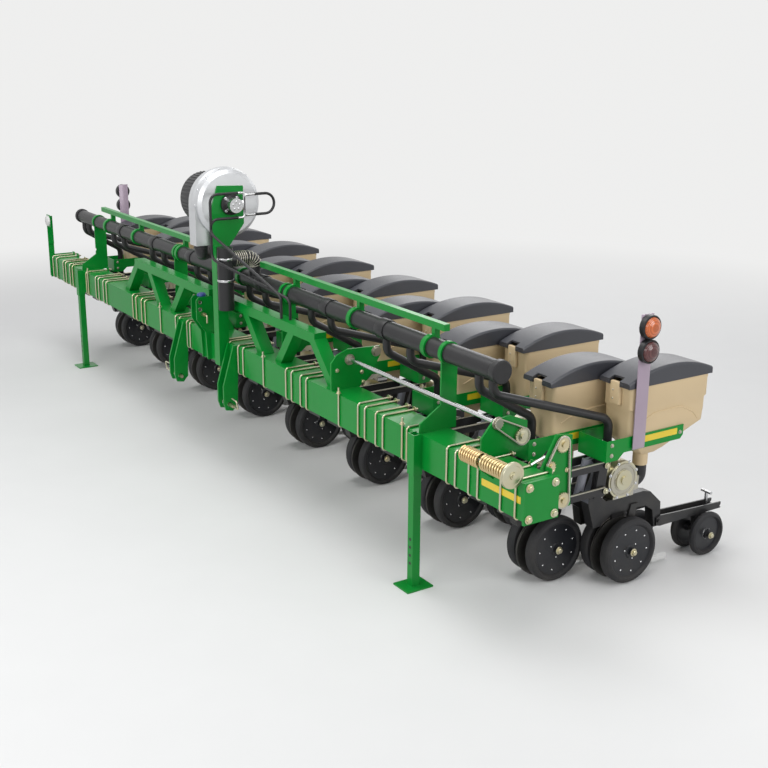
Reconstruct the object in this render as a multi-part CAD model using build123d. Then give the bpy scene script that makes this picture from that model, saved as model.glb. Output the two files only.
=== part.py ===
import os
from math import atan2, cos, degrees, hypot, radians, sin

from build123d import *

# All sizes in mm. X runs across the machine, -Y is the hitch side, Z is up from the floor.

# Toolbar
bar_size = 203.0
bar_wall = 10.0
bar_half_length = 3715.0
bar_y = -781.0
bar_z = 832.0
end_plate_size = 228.0
end_plate_thick = 14.0

# Row layout
pair_count = 8
pair_pitch = 914.4
twin_gap = 254.0
front_axle_from_bar = 620.0
stagger = 350.0

# Gauge wheels
gauge_radius = 200.0
gauge_width = 76.0
gauge_inner = 46.0
gauge_bore = 12.8
axle_radius = 12.5

# Closing wheels
closing_radius = 140.0
closing_width = 46.0
closing_inner = 52.0
closing_behind = 680.0

# Opener discs
disc_radius = 190.0
disc_thick = 4.0
disc_y = -25.0
disc_angle = 2.5

# Row frame
frame_half = 32.0
upright_half = 57.6
upright_top = 800.0
beam_top = 520.0
beam_bottom = 430.0
arm_top_z = 765.0
arm_low_z = 610.0
arm_thick = 12.0
arm_height = 46.0
arm_pivot_from_bar = 170.0
arm_pivot_y = -205.0
pin_radius = 12.0
pin_gap = 0.3
tail_length = 832.0
tail_z = 300.0

# Hopper and lid
hopper_half = 108.0
band_half = 114.0
lid_half = 120.0
hopper_front = -85.0
hopper_rear = 540.0
rim_z = 1205.0
band_height = 136.0
hopper_wall = 4.5
outlet_y = 133.0
outlet_radius = 45.0
outlet_z = 690.0
lid_rise = 96.0
hinge_forward = 16.0
hinge_lift = 12.0
hinge_pin = 6.0
lug_half = 37.5

# Seed meter
meter_radius = 112.0
meter_half = 50.0
meter_y = -45.0
meter_z = 638.0

# Air system
pipe_radius = 57.0
pipe_y_from_bar = 90.0
pipe_z = 1380.0
pipe_from_end = 460.0
pipe_outer = bar_half_length - pipe_from_end
pipe_inner = 130.0
hose_radius = 25.0
rail_size = 40.0
rail_z = 1506.0
rail_y_from_bar = 120.0
duct_radius = 52.0

# Fan
fan_radius = 255.0
fan_x0 = 110.0
fan_x1 = 300.0
fan_y_from_bar = -33.0
fan_z = 1925.0
filter_radius = 190.0
filter_length = 240.0

# Hitch
mast_inner = 39.0
mast_thick = 12.0
mast_pin_y = -160.0
mast_pin_z = 1085.0
mast_bore = 16.2
link_spread = 440.0
link_inner = 38.0
link_thick = 16.0
link_pin_y = -174.0
link_pin_z = 500.0
link_bore = 18.5
chord_z = 1205.0
chord_height = 70.0
truss_front = -60.0
truss_depth = 90.0

# Seed drive on the near end
shaft_radius = 12.5
shaft_y_from_bar = 33.0
shaft_z = 1121.0
spring_y_from_bar = -160.0
spring_z = 985.0
drive_mid_x = 1809.0
drive_near_x = bar_half_length - 414.0
drive_end_x = bar_half_length - 131.0
drive_plate = 12.0
spring_lug_x = bar_half_length - 267.0

# Stands
stand_from_end = 925.0
stand_x = bar_half_length - stand_from_end
leg_gap = 0.5
leg_size = 52.0
leg_top = 930.0
sleeve_wall = 6.0
foot_x = 150.0
foot_y = 180.0
foot_thick = 10.0

# Lamps, one post at each end: side and Y
lamp_top = 1600.0
unit_end = (pair_count - 1) / 2 * pair_pitch + twin_gap / 2
strip_x = unit_end + lid_half + 7
lamp_places = ((1, bar_y + front_axle_from_bar + stagger - 24), (-1, bar_y + front_axle_from_bar - 20))

bar_half = bar_size / 2
stand_y_from_bar = -bar_half - leg_gap - leg_size / 2
bar_top = bar_z + bar_half
bar_bottom = bar_z - bar_half
bar_rear = bar_y + bar_half
bar_front = bar_y - bar_half


def block(x0, x1, y0, y1, z0, z1):
    return Pos((x0 + x1) / 2, (y0 + y1) / 2, (z0 + z1) / 2) * Box(abs(x1 - x0), abs(y1 - y0), abs(z1 - z0))


def side_plate(points, x0, x1):
    # A plate across the machine from its outline in Y and Z
    outline = Plane.YZ * make_face(Polyline(*points, close=True))
    return Pos(x0, 0, 0) * extrude(outline, x1 - x0)


def rod_x(x0, x1, y, z, r):
    return Pos((x0 + x1) / 2, y, z) * Rot(0, 90, 0) * Cylinder(r, abs(x1 - x0))


def rod_z(x, y, z0, z1, r):
    return Pos(x, y, (z0 + z1) / 2) * Cylinder(r, abs(z1 - z0))


def rod_between(x, y0, z0, y1, z1, r):
    # A round bar in a plane across X
    length = hypot(y1 - y0, z1 - z0)
    turn = -degrees(atan2(y1 - y0, z1 - z0))
    return Pos(x, (y0 + y1) / 2, (z0 + z1) / 2) * Rot(turn, 0, 0) * Cylinder(r, length)


def spun(points, y=0.0, z=0.0):
    # A body turned about an X axis from its half section in X and radius
    return Pos(0, y, z) * revolve(Plane.XZ * make_face(Polyline(*points, close=True)), Axis.X)


def solids_of(shape):
    return shape.solids()


def save(name, pieces):
    solids = [s for piece in pieces for s in solids_of(piece)]
    export_step(Compound(solids), f"parts/{name}.step")


def gauge_wheel(side):
    c = gauge_inner + gauge_width / 2
    h = gauge_width / 2
    r = gauge_radius
    section = [
        (c - 26, gauge_bore), (c - 26, 36), (c + 8, 36), (c + 8, r - 52), (c - h + 6, r - 36), (c - h, r - 24),
        (c - h + 5, r - 9), (c - h + 16, r - 1.5), (c - 10, r), (c + 10, r), (c + h - 16, r - 1.5), (c + h - 5, r - 9),
        (c + h, r - 24), (c + h, r - 32), (c + h - 6, r - 38), (c + 24, r - 44), (c + 24, 44), (c + 31, 38), (c + 31, gauge_bore),
    ]
    return spun([(side * x, q) for x, q in section], 0, r)


def closing_wheel(side):
    c = closing_inner + closing_width / 2
    h = closing_width / 2
    r = closing_radius
    section = [
        (c - h - 4, gauge_bore), (c - h - 4, 30), (c - 4, 34), (c - 4, r - 38), (c - h, r - 24), (c - h + 3, r - 10), (c - 8, r),
        (c + 8, r), (c + h - 3, r - 10), (c + h, r - 24), (c + 4, r - 34), (c + 4, 34), (c + h, 30), (c + h, gauge_bore),
    ]
    return spun([(side * x, q) for x, q in section], closing_behind, r)


def opener_disc(side):
    blade = Cylinder(disc_radius, disc_thick)
    cap = Pos(0, 0, disc_thick / 2 + 4) * Cylinder(46, 8)
    disc = blade + cap - Cylinder(axle_radius + 0.9, 60)
    turn = Rot(0, 0, -side * disc_angle) * Rot(0, side * 90, 0)
    return Pos(side * 12, disc_y, disc_radius + 8) * turn * disc


def row_frame():
    outline = [
        (-235, upright_top), (-175, upright_top), (-200, beam_top + 40), (-150, beam_top), (150, beam_top), (208, beam_top - 15),
        (300, beam_bottom - 10), (312, tail_z - 34), (256, tail_z - 34), (236, beam_bottom - 50), (180, beam_bottom - 10),
        (60, beam_bottom), (-100, beam_bottom), (-185, 372), (-240, 372), (-290, 534),
    ]
    frame = side_plate(outline, -frame_half, frame_half)
    upright = [(-235, upright_top), (-175, upright_top), (-195, arm_low_z - 40), (-272, arm_low_z - 40)]
    frame += side_plate(upright, -upright_half, upright_half)
    frame += side_plate([(-75, beam_bottom + 20), (25, beam_bottom + 20), (12, 176), (-55, 176)], -6, 6)
    frame += rod_x(-23, 23, disc_y, disc_radius + 8, axle_radius)
    for z in (arm_top_z, arm_low_z):
        frame += rod_x(-upright_half - arm_thick - 7, upright_half + arm_thick + 7, arm_pivot_y, z, pin_radius)
    # Gauge arms and axles
    reach = gauge_inner + gauge_width / 2 + 45
    for side in (-1, 1):
        arm = side_plate([(-26, gauge_radius - 12), (8, gauge_radius - 24), (28, gauge_radius), (100, beam_bottom + 30), (45, beam_bottom + 30)], 26, 42)
        arm += rod_x(40, reach, 0, gauge_radius, axle_radius)
        arm += rod_x(42, gauge_inner + gauge_width / 2 - 26.6, 0, gauge_radius, 26)
        arm += rod_x(gauge_inner + gauge_width / 2 + 31.6, reach, 0, gauge_radius, 20)
        frame += arm if side > 0 else arm.mirror(Plane.YZ)
    # Down-pressure strut in front of the upright
    frame += rod_between(0, -344, arm_low_z - 20, -292, upright_top - 4, 26)
    frame += rod_x(-upright_half, upright_half, -344, arm_low_z, pin_radius)
    frame += block(-14, 14, -300, -220, upright_top - 40, upright_top)
    return frame


def tail():
    plates = [(268, tail_z - 26), (300, tail_z - 34), (tail_length - 20, tail_z - 34), (tail_length, tail_z - 10), (tail_length, tail_z + 6),
              (430, tail_z + 26), (300, tail_z + 34), (268, tail_z + 22)]
    body = side_plate(plates, frame_half + pin_gap, frame_half + 10)
    body += body.mirror(Plane.YZ)
    body += block(-frame_half - 10, frame_half + 10, 330, tail_length, tail_z - 34, tail_z - 26)
    body += rod_x(-frame_half - 18, frame_half + 18, 288, tail_z, pin_radius) - rod_x(-frame_half - pin_gap, frame_half + pin_gap, 288, tail_z, 40)
    body += side_plate([(closing_behind - 60, tail_z - 30), (closing_behind + 60, tail_z - 30), (closing_behind + 24, closing_radius - 22), (closing_behind - 24, closing_radius - 22)], -14, 14)
    reach = closing_inner + closing_width + 16
    body += rod_x(-reach, reach, closing_behind, closing_radius, axle_radius)
    for side in (-1, 1):
        body += rod_x(side * 14, side * (closing_inner - 4.6), closing_behind, closing_radius, 22)
        body += rod_x(side * (closing_inner + closing_width + 0.6), side * reach, closing_behind, closing_radius, 18)
    body += rod_z(0, 740, tail_z - 30, tail_z + 76, 10) + rod_x(-38, 38, 740, tail_z + 80, 10)
    return body


def bar_bracket():
    # Bolted to the rear of the toolbar, in toolbar coordinates
    y = bar_half
    body = block(-75, 75, y, y + 12, arm_low_z - 30, bar_top - 4)
    ear = [(y + 10, arm_low_z - 30), (arm_pivot_from_bar + 10, arm_low_z - 30), (arm_pivot_from_bar + 30, arm_low_z), (arm_pivot_from_bar + 30, arm_top_z + 20),
           (y + 40, bar_top - 20), (y + 10, bar_top - 20)]
    for side in (-1, 1):
        body += side_plate(ear, side * (upright_half - 12), side * upright_half)
        for z in (arm_top_z, arm_low_z):
            body += rod_x(side * (upright_half - 2), side * (upright_half + arm_thick + 7), arm_pivot_from_bar, z, pin_radius)
    return body


def parallel_arm(length, z):
    # From the bar pivot to the upright pivot, bar pivot at Y = 0
    h = arm_height / 2
    arm = block(upright_half + pin_gap, upright_half + arm_thick, 0, length, z - h, z + h)
    for y in (0, length):
        arm += rod_x(upright_half + pin_gap, upright_half + arm_thick, y, z, h)
    for y in (0, length):
        arm -= rod_x(upright_half - 5, upright_half + arm_thick + 5, y, z, pin_radius + pin_gap)
    return arm


def hopper():
    f, r, w = hopper_front, hopper_rear, hopper_wall
    top = rim_z - band_height
    lower = [(f + 6, top + 2), (f + 14, 890), (outlet_y - 48, 770), (outlet_y + 48, 770), (360, 872), (r - 16, 922), (r - 8, top + 2)]
    hollow = [(f + 6 + w, top + 10), (f + 14 + w, 892), (outlet_y - 44, 776), (outlet_y + 44, 776), (358, 878), (r - 18 - w, 930), (r - 8 - w, top + 10)]
    body = side_plate(lower, -hopper_half, hopper_half)
    body += block(-band_half, band_half, f, r, top, rim_z)
    body += rod_z(0, outlet_y, outlet_z, 775, outlet_radius)
    body -= side_plate(hollow, -hopper_half + w, hopper_half - w)
    body -= block(-hopper_half + w, hopper_half - w, f + 6 + w, r - 8 - w, top - 1, rim_z + 1)
    body -= rod_z(0, outlet_y, outlet_z - 1, 780, outlet_radius - w)
    # Hinge strap at the front edge
    y, z = f - hinge_forward, rim_z + hinge_lift
    strap = side_plate([(f + 1, rim_z - 120), (f - 14, rim_z - 112), (y - 12, z - 14), (y - 12, z + 8), (y - 6, z + 13), (y + 8, z + 13), (f + 3, z + 6), (f + 3, rim_z - 60)], -lug_half, lug_half)
    return body + strap - rod_x(-80, 80, y, z, hinge_pin + pin_gap)


def hopper_lid():
    y, z = hopper_front - hinge_forward, rim_z + hinge_lift
    y0, y1 = y - 14, hopper_rear + 14
    base = rim_z + 0.5
    crown = Polyline((y1, base + 40), (y1, base), (y0, base), (y0, base + 30))
    top = ThreePointArc((y0, base + 30), (hopper_front + 430, base + lid_rise), (y1, base + 40))
    lid = extrude(Plane.YZ * make_face([crown, top]), lid_half, both=True)
    long_edges = lid.edges().filter_by(GeomType.CIRCLE)
    lid = fillet(long_edges, 14)
    w = 5
    inner = Polyline((y1 - w, base + 30), (y1 - w, base - 1), (hopper_front + 8, base - 1), (hopper_front + 8, base + 34))
    inner_top = ThreePointArc((hopper_front + 8, base + 34), (hopper_front + 430, base + lid_rise - 7), (y1 - w, base + 30))
    lid -= extrude(Plane.YZ * make_face([inner, inner_top]), lid_half - w, both=True)
    lid -= block(-lug_half - 3, lug_half + 3, y0 - 1, hopper_front + 10, base - 1, base + 60)
    return lid + rod_x(-lug_half - 8, lug_half + 8, y, z, hinge_pin)


def hopper_bracket():
    x0, x1 = hopper_half + 0.4, hopper_half + 6.4
    side = [(-255, upright_top), (-165, upright_top), (-120, 838), (330, 838), (352, 860), (352, 923), (-255, 923)]
    body = side_plate(side, x0, x1) + side_plate(side, -x1, -x0)
    body += block(-x1, x1, -255, -249, upright_top, 923)
    body += block(-x1, x1, -255, -195, upright_top, upright_top + 6)
    return body


def seed_meter():
    body = rod_x(-meter_half, meter_half, meter_y, meter_z, meter_radius)
    body += rod_x(-meter_half - 12, meter_half + 12, meter_y, meter_z, 60) + rod_x(-meter_half - 20, meter_half + 20, meter_y, meter_z, 26)
    body += block(-40, 40, meter_y - 60, meter_y + 100, beam_top, meter_z)
    body += block(-44, 44, meter_y, 88, 552, 636)
    return body + rod_z(0, -140, meter_z, 745, hose_radius + 2)


def seed_elbow():
    route = FilletPolyline((outlet_y, outlet_z), (outlet_y, 594), (88, 594), radius=42)
    path = Plane.YZ * route
    return sweep(Pos(0, outlet_y, outlet_z) * Circle(40), path=path)


def air_hose(x, axle_y):
    # Manifold to meter in one upright plane
    x0 = max(-pipe_outer + 60, min(pipe_outer - 60, x))
    y0, y1 = bar_y + pipe_y_from_bar, axle_y - 140
    run = hypot(x - x0, y1 - y0)
    plane = Plane(origin=(x0, y0, 0), x_dir=((x - x0) / run, (y1 - y0) / run, 0), z_dir=((y1 - y0) / run, -(x - x0) / run, 0))
    route = FilletPolyline((0, pipe_z - pipe_radius - 0.2), (0, pipe_z - 140), (run, 1010), (run, 745), radius=70)
    return sweep(Pos(x0, y0, pipe_z - pipe_radius - 0.2) * Circle(hose_radius), path=plane * route)


def beam_xz(x0, z0, x1, z1, height, y0, y1):
    # A straight member of the truss between two points in X and Z
    length = hypot(x1 - x0, z1 - z0)
    turn = -degrees(atan2(z1 - z0, x1 - x0))
    return Pos((x0 + x1) / 2, (y0 + y1) / 2, (z0 + z1) / 2) * Rot(0, turn, 0) * Box(length, y1 - y0, height)


def truss():
    y0 = bar_y + truss_front
    y1 = y0 + truss_depth
    body = beam_xz(mast_inner + mast_thick - 2, chord_z, 1540, chord_z, chord_height, y0, y1)
    for x0, x1 in ((1485, 1770), (520, 790), (1250, 1020)):
        body += beam_xz(x0, chord_z + 6, x1, bar_top - 20, chord_height - 4, y0, y1)
    body -= block(0, 2200, y0 - 5, y1 + 5, 500, bar_top)
    return body - block(400, 2200, y0 - 5, y1 + 5, chord_z + chord_height / 2, 1500)


def hitch():
    plate = [(mast_pin_y - 50, mast_pin_z - 40), (mast_pin_y - 50, 1190), (mast_pin_y - 30, 1214), (-90, 1214), (70, 990), (96, bar_top), (-bar_half, bar_top), (-bar_half, bar_bottom), (-bar_half - 30, bar_bottom), (-bar_half - 40, 940)]
    plate = [(bar_y + y, z) for y, z in plate]
    one = side_plate(plate, mast_inner, mast_inner + mast_thick) + truss()
    body = one + one.mirror(Plane.YZ)
    body += block(-mast_inner - 2, mast_inner + 2, bar_front - 14, bar_front, bar_bottom, bar_top - 6)
    return body - rod_x(-80, 80, bar_y + mast_pin_y, mast_pin_z, mast_bore)


def link_bracket(side):
    plate = [(-bar_half, bar_top), (-bar_half - 30, bar_top), (link_pin_y - 46, 640), (link_pin_y - 46, link_pin_z + 10), (link_pin_y - 30, link_pin_z - 42), (link_pin_y + 24, link_pin_z - 52), (link_pin_y + 62, link_pin_z - 10), (-bar_half, bar_bottom - 10)]
    plate = [(bar_y + y, z) for y, z in plate]
    c = side * link_spread
    body = side_plate(plate, c - link_inner - link_thick, c - link_inner) + side_plate(plate, c + link_inner, c + link_inner + link_thick)
    body += block(c - link_inner - 2, c + link_inner + 2, bar_front - 14, bar_front, bar_bottom, bar_top - 6)
    return body - rod_x(c - 120, c + 120, bar_y + link_pin_y, link_pin_z, link_bore)


def toolbar():
    tube = block(-bar_half_length, bar_half_length, bar_front, bar_rear, bar_bottom, bar_top)
    tube -= block(-bar_half_length - 1, bar_half_length + 1, bar_front + bar_wall, bar_rear - bar_wall, bar_bottom + bar_wall, bar_top - bar_wall)
    e = end_plate_size / 2
    for side in (-1, 1):
        tube += block(side * bar_half_length, side * (bar_half_length + end_plate_thick), bar_y - e, bar_y + e, bar_z - e, bar_z + e)
    return tube


def clamp_ring(x, tab):
    y = bar_y + pipe_y_from_bar
    ring = rod_x(x - 18, x + 18, y, pipe_z, pipe_radius + 12)
    if tab:
        ring += block(x - 16, x + 16, bar_y + rail_y_from_bar - 18, bar_y + rail_y_from_bar + 18, pipe_z + 30, rail_z - rail_size / 2)
    return ring - rod_x(x - 40, x + 40, y, pipe_z, pipe_radius + 0.3)


def manifold_post(x, outer):
    foot = -bar_half if outer else 40
    plate = [(foot, bar_top), (150, bar_top), (150, pipe_z - 30), (40, pipe_z - 30), (40, 1080), (foot, 990)]
    body = side_plate([(bar_y + y, z) for y, z in plate], x - 6, x + 6)
    body += rod_x(x - 14, x + 14, bar_y + pipe_y_from_bar, pipe_z, pipe_radius + 10)
    body -= rod_x(x - 40, x + 40, bar_y + shaft_y_from_bar, shaft_z, shaft_radius + 3)
    return body - rod_x(x - 40, x + 40, bar_y + pipe_y_from_bar, pipe_z, pipe_radius + pin_gap)


def rails():
    y = bar_y + rail_y_from_bar
    z0, z1 = rail_z - rail_size / 2, rail_z + rail_size / 2
    spans = ((-2735, -262, (-854, -1802, -2486)), (490, 2730, (2622, 1813, 990)))
    pieces = []
    for x0, x1, rings in spans:
        rail = block(x0, x1, y - rail_size / 2, y + rail_size / 2, z0, z1)
        for x in rings:
            rail += clamp_ring(x, True)
        pieces.append(rail)
    return pieces + [clamp_ring(255, False)]


def fan_post():
    x0, x1 = fan_x1 - 15, fan_x1 + 65
    body = block(x0, x1, bar_front - 80, bar_front, bar_bottom + 30, 1640)
    plate = [(bar_front - 80, 1560), (bar_front, 1560), (bar_y + 70, 1780), (bar_y + 70, 2050), (bar_y - 130, 2060), (bar_front - 80, 1900)]
    return body + side_plate(plate, fan_x1 + 0.4, fan_x1 + 12)


def drive_plates():
    mid = [(-bar_half, bar_top), (110, bar_top), (200, 1010), (266, 1120), (262, 1180), (20, 1190), (-60, 1160), (-bar_half, 1110)]
    near = [(-70, bar_top), (100, bar_top), (240, 960), (240, 1100), (120, 1150), (10, 1140), (-70, 1050)]
    end = [(bar_half, 760), (bar_half, 930), (200, 1110), (310, 1090), (320, 690), (215, 690), (200, 800), (160, 760)]
    table = ((mid, drive_mid_x), (near, drive_near_x), (end, drive_end_x))
    pieces = [side_plate([(bar_y + y, z) for y, z in points], x, x + drive_plate) for points, x in table]
    for i, x in enumerate((drive_mid_x, drive_near_x)):
        pieces[i] -= rod_x(x - 50, x + 50, bar_y + shaft_y_from_bar, shaft_z, shaft_radius + pin_gap)
    lug = side_plate([(bar_front, 880), (bar_front - 90, 950), (bar_front - 90, 1010), (bar_front - 30, 1010), (bar_front, 925)], spring_lug_x, spring_lug_x + drive_plate)
    return pieces + [lug - rod_x(spring_lug_x - 50, spring_lug_x + 50, bar_y + spring_y_from_bar, spring_z, pin_radius + pin_gap)]


def stand_sleeve(side):
    x, y = side * stand_x, bar_y + stand_y_from_bar
    i = leg_size / 2 + leg_gap
    o = i + sleeve_wall
    body = block(x - o, x + o, y - o, bar_front, 700, bar_top + 8)
    return body - block(x - i, x + i, y - i, bar_front + 1, 600, bar_top + 80)


def stand(side):
    x, y = side * stand_x, bar_y + stand_y_from_bar
    h = leg_size / 2
    body = block(x - h, x + h, y - h, y + h, foot_thick - 1, leg_top)
    body -= block(x - h + 4, x + h - 4, y - h + 4, y + h - 4, foot_thick, leg_top + 1)
    return body + block(x - foot_x / 2, x + foot_x / 2, y - foot_y / 2, y + foot_y / 2, 0, foot_thick)


def drive():
    y = bar_y
    shaft = rod_x(drive_mid_x - 20, drive_near_x + 29, y + shaft_y_from_bar, shaft_z, shaft_radius)
    pieces = [shaft]
    near_x, end_x = drive_near_x + drive_plate + pin_gap, drive_end_x + drive_plate + pin_gap
    for x, yy, z, r in ((near_x, 200, 1022, 46), (end_x, 240, 1052, 42), (end_x, 255, 735, 42), (end_x, 160, 941, 28)):
        pieces.append(rod_x(x, x + 12, y + yy, z, r) + rod_x(x, x + 26, y + yy, z, 16))
    end = bar_half_length
    spindle = rod_x(end - 445, end - 15, y + spring_y_from_bar, spring_z, pin_radius) + rod_x(end - 43, end - 31, y + spring_y_from_bar, spring_z, 70)
    return pieces + [spindle]


def fan():
    r, y = fan_radius, bar_y + fan_y_from_bar
    section = [(fan_x0, 0), (fan_x0, r - 40), (fan_x0 + 20, r - 14), (fan_x0 + 60, r - 6), (fan_x0 + 80, r), (fan_x1 - 80, r), (fan_x1 - 60, r - 6), (fan_x1 - 20, r - 14), (fan_x1, r - 40), (fan_x1, 0)]
    body = spun(section, y, fan_z)
    body += block(fan_x0 + 40, fan_x1 - 40, y - r + 4, y - r + 130, fan_z - 290, fan_z)
    motor = rod_x(fan_x1 + 12.4, fan_x1 + 110, y, fan_z, 52)
    return [body, motor]


def duct_between(top, low):
    # A corrugated duct dropping from one opening to another, in one upright plane
    run = hypot(low[0] - top[0], low[1] - top[1])
    d = ((low[0] - top[0]) / run, (low[1] - top[1]) / run, 0)
    plane = Plane(origin=(top[0], top[1], 0), x_dir=d, z_dir=(d[1], -d[0], 0))
    low_z = low[2] + 31.2
    route = FilletPolyline((0, top[2]), (0, top[2] - 60), (run, low_z + 60), (run, low_z), radius=50)
    return sweep(Pos(top[0], top[1], top[2]) * Circle(duct_radius), path=plane * route)


def air_pipes():
    y = bar_y + pipe_y_from_bar
    pieces = [rod_x(s * pipe_inner, s * pipe_outer, y, pipe_z, pipe_radius) for s in (-1, 1)]
    fy = bar_y + fan_y_from_bar
    pieces.append(rod_x(fan_x0 - filter_length, fan_x0 - 0.4, fy, fan_z, filter_radius))
    # Ducts: fan outlet down to the left half, standpipe back to the right half
    left_x = -pipe_inner - duct_radius - 10
    pieces.append(duct_between((fan_x0 + 95, fy - fan_radius + 67, fan_z - 290.2), (left_x, y, pipe_z + pipe_radius - 1)))
    px, py = fan_x1 + 65 + pipe_radius + pin_gap, bar_front - 40
    for side, x in enumerate((left_x, px)):
        pieces[side] += rod_z(x, y, pipe_z, pipe_z + pipe_radius + 30, duct_radius - 8)
    route = Plane.YZ.offset(px) * FilletPolyline((py, 1550), (y, 1550), (y, pipe_z + pipe_radius + 30.2), radius=70)
    cross = sweep(Plane(origin=(px, py, 1550), z_dir=(0, 1, 0)) * Circle(duct_radius), path=route)
    pieces.append(rod_z(px, py, 1190, 1640, pipe_radius) + cross)
    return pieces


def lamp_posts():
    # A flat strip bolted on two spacers to the outermost hopper bracket, clear of the lid
    pieces = []
    for side, y in lamp_places:
        strip = block(side * strip_x, side * (strip_x + 5), y - 20, y + 20, 850, lamp_top + 30)
        for z in (868, 906):
            strip += rod_x(side * (unit_end + hopper_half + 6.4), side * (strip_x + 1), y, z, 11)
        pieces.append(strip)
    return pieces


def lamps():
    pieces = []
    for side, y in lamp_places:
        for z, r in ((lamp_top, 38), (lamp_top - 90, 42)):
            pieces.append(rod_x(side * (strip_x + 5), side * (strip_x + 47), y, z, r))
    return pieces


def end_marker():
    x = -bar_half_length - end_plate_thick
    return block(x, x + 6, bar_y - 118, bar_y - 62, 1050, 1330) + block(x - 6, x, bar_y - 118, bar_y - 62, bar_bottom, 1330)


os.makedirs("parts", exist_ok=True)

# One row per unit: name number, X across, Y of the gauge axle
units = []
for pair in range(pair_count):
    middle = (pair - (pair_count - 1) / 2) * pair_pitch
    units.append((2 * pair + 1, middle - twin_gap / 2, bar_y + front_axle_from_bar))
    units.append((2 * pair + 2, middle + twin_gap / 2, bar_y + front_axle_from_bar + stagger))

gauge_pair = [gauge_wheel(-1), gauge_wheel(1)]
closing_pair = [closing_wheel(-1), closing_wheel(1)]
disc_pair = [opener_disc(-1), opener_disc(1)]
unit_frame = [row_frame(), tail()]
bracket_on_bar = bar_bracket()
unit_hopper = hopper()
unit_lid = hopper_lid()
unit_bracket = hopper_bracket()
unit_meter = seed_meter()
unit_elbow = seed_elbow()

frames, discs, hoppers, hopper_brackets, meters, hoses = [], [], [], [], [], []
for number, x, y in units:
    at = Location((x, y, 0))
    save(f"gauge_wheels_{number:02d}", [p.moved(at) for p in gauge_pair])
    save(f"closing_wheels_{number:02d}", [p.moved(at) for p in closing_pair])
    save(f"hopper_lid_{number:02d}", [unit_lid.moved(at)])
    frames += [p.moved(at) for p in unit_frame] + [bracket_on_bar.moved(Location((x, bar_y, 0)))]
    length = y + arm_pivot_y - bar_y - arm_pivot_from_bar
    for z in (arm_top_z, arm_low_z):
        arm = parallel_arm(length, z)
        start = Location((x, bar_y + arm_pivot_from_bar, 0))
        frames += [arm.moved(start), arm.mirror(Plane.YZ).moved(start)]
    discs += [p.moved(at) for p in disc_pair]
    hoppers.append(unit_hopper.moved(at))
    hopper_brackets.append(unit_bracket.moved(at))
    meters.append(unit_meter.moved(at))
    hoses += [unit_elbow.moved(at), air_hose(x, y)]

save("toolbar", [toolbar()])
save("hitch_frame", [hitch(), link_bracket(-1), link_bracket(1)])
save("brackets", rails() + [manifold_post(x, outer) for x, outer in ((-stand_x, True), (-914, False), (914, False), (stand_x, True))] + [fan_post()] + drive_plates()
     + [stand_sleeve(-1), stand_sleeve(1)] + lamp_posts() + [end_marker()] + hopper_brackets)
save("row_frames", frames)
save("opener_discs", discs)
save("seed_hoppers", hoppers)
save("drive_and_meters", drive() + meters)
save("air_ducts", air_pipes() + hoses)
save("fan_housing", fan())
save("lamps", lamps())
save("stand_left", [stand(1)])
save("stand_right", [stand(-1)])
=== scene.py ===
from math import acos, atan2, cos, hypot, pi, radians, sin, tan, tau

import bpy
from mathutils import Matrix, Vector


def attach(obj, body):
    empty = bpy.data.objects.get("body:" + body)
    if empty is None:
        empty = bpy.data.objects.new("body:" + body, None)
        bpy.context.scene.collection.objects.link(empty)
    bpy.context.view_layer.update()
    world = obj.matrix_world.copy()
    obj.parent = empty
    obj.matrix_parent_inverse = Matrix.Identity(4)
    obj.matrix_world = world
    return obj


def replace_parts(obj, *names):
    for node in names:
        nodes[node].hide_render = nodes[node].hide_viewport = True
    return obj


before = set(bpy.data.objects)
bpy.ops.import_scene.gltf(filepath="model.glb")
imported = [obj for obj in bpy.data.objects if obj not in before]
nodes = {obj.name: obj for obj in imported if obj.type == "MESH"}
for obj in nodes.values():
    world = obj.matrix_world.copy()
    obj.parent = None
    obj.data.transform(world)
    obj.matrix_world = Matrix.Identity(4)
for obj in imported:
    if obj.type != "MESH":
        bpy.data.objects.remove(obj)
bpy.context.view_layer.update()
print("planter frame loaded:", len(nodes), "nodes")

# where the machine's rows are, in metres, as in the part
layout = {
    "barY": -0.781, "barZ": 0.832, "barHalf": 0.1015,
    "pairs": 8, "pairPitch": 0.9144, "twinGap": 0.254, "frontAxle": 0.620, "stagger": 0.350,
}
barY, barZ, barHalf = layout["barY"], layout["barZ"], layout["barHalf"]
barTop, barBottom = barZ + barHalf, barZ - barHalf
barFront, barRear = barY - barHalf, barY + barHalf
frontAxle, halfGap = barY + layout["frontAxle"], layout["twinGap"] / 2
rowUnits = []  # number, x, y of the gauge axle
for i in range(layout["pairs"]):
    middle = (i - (layout["pairs"] - 1) / 2) * layout["pairPitch"]
    rowUnits.append((2 * i + 1, middle - halfGap, frontAxle))
    rowUnits.append((2 * i + 2, middle + halfGap, frontAxle + layout["stagger"]))
unitPoints = [(x, y) for number, x, y in rowUnits]


# material helpers

def newMaterial(name):
    mat = bpy.data.materials.new(name)
    mat.use_nodes = True
    return mat, mat.node_tree, mat.node_tree.nodes["Principled BSDF"]


def addMix(tree, share, first, second):
    # first and second are colours or sockets
    node = tree.nodes.new("ShaderNodeMix")
    node.data_type = "RGBA"
    tree.links.new(share, node.inputs[0])
    for i, colour in ((6, first), (7, second)):
        if isinstance(colour, tuple):
            node.inputs[i].default_value = (*colour, 1)
        else:
            tree.links.new(colour, node.inputs[i])
    return node.outputs[2]


def addBump(tree, bsdf, height, strength, deep):
    node = tree.nodes.new("ShaderNodeBump")
    node.inputs["Strength"].default_value = strength
    node.inputs["Distance"].default_value = deep
    tree.links.new(height, node.inputs["Height"])
    tree.links.new(node.outputs["Normal"], bsdf.inputs["Normal"])


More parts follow.
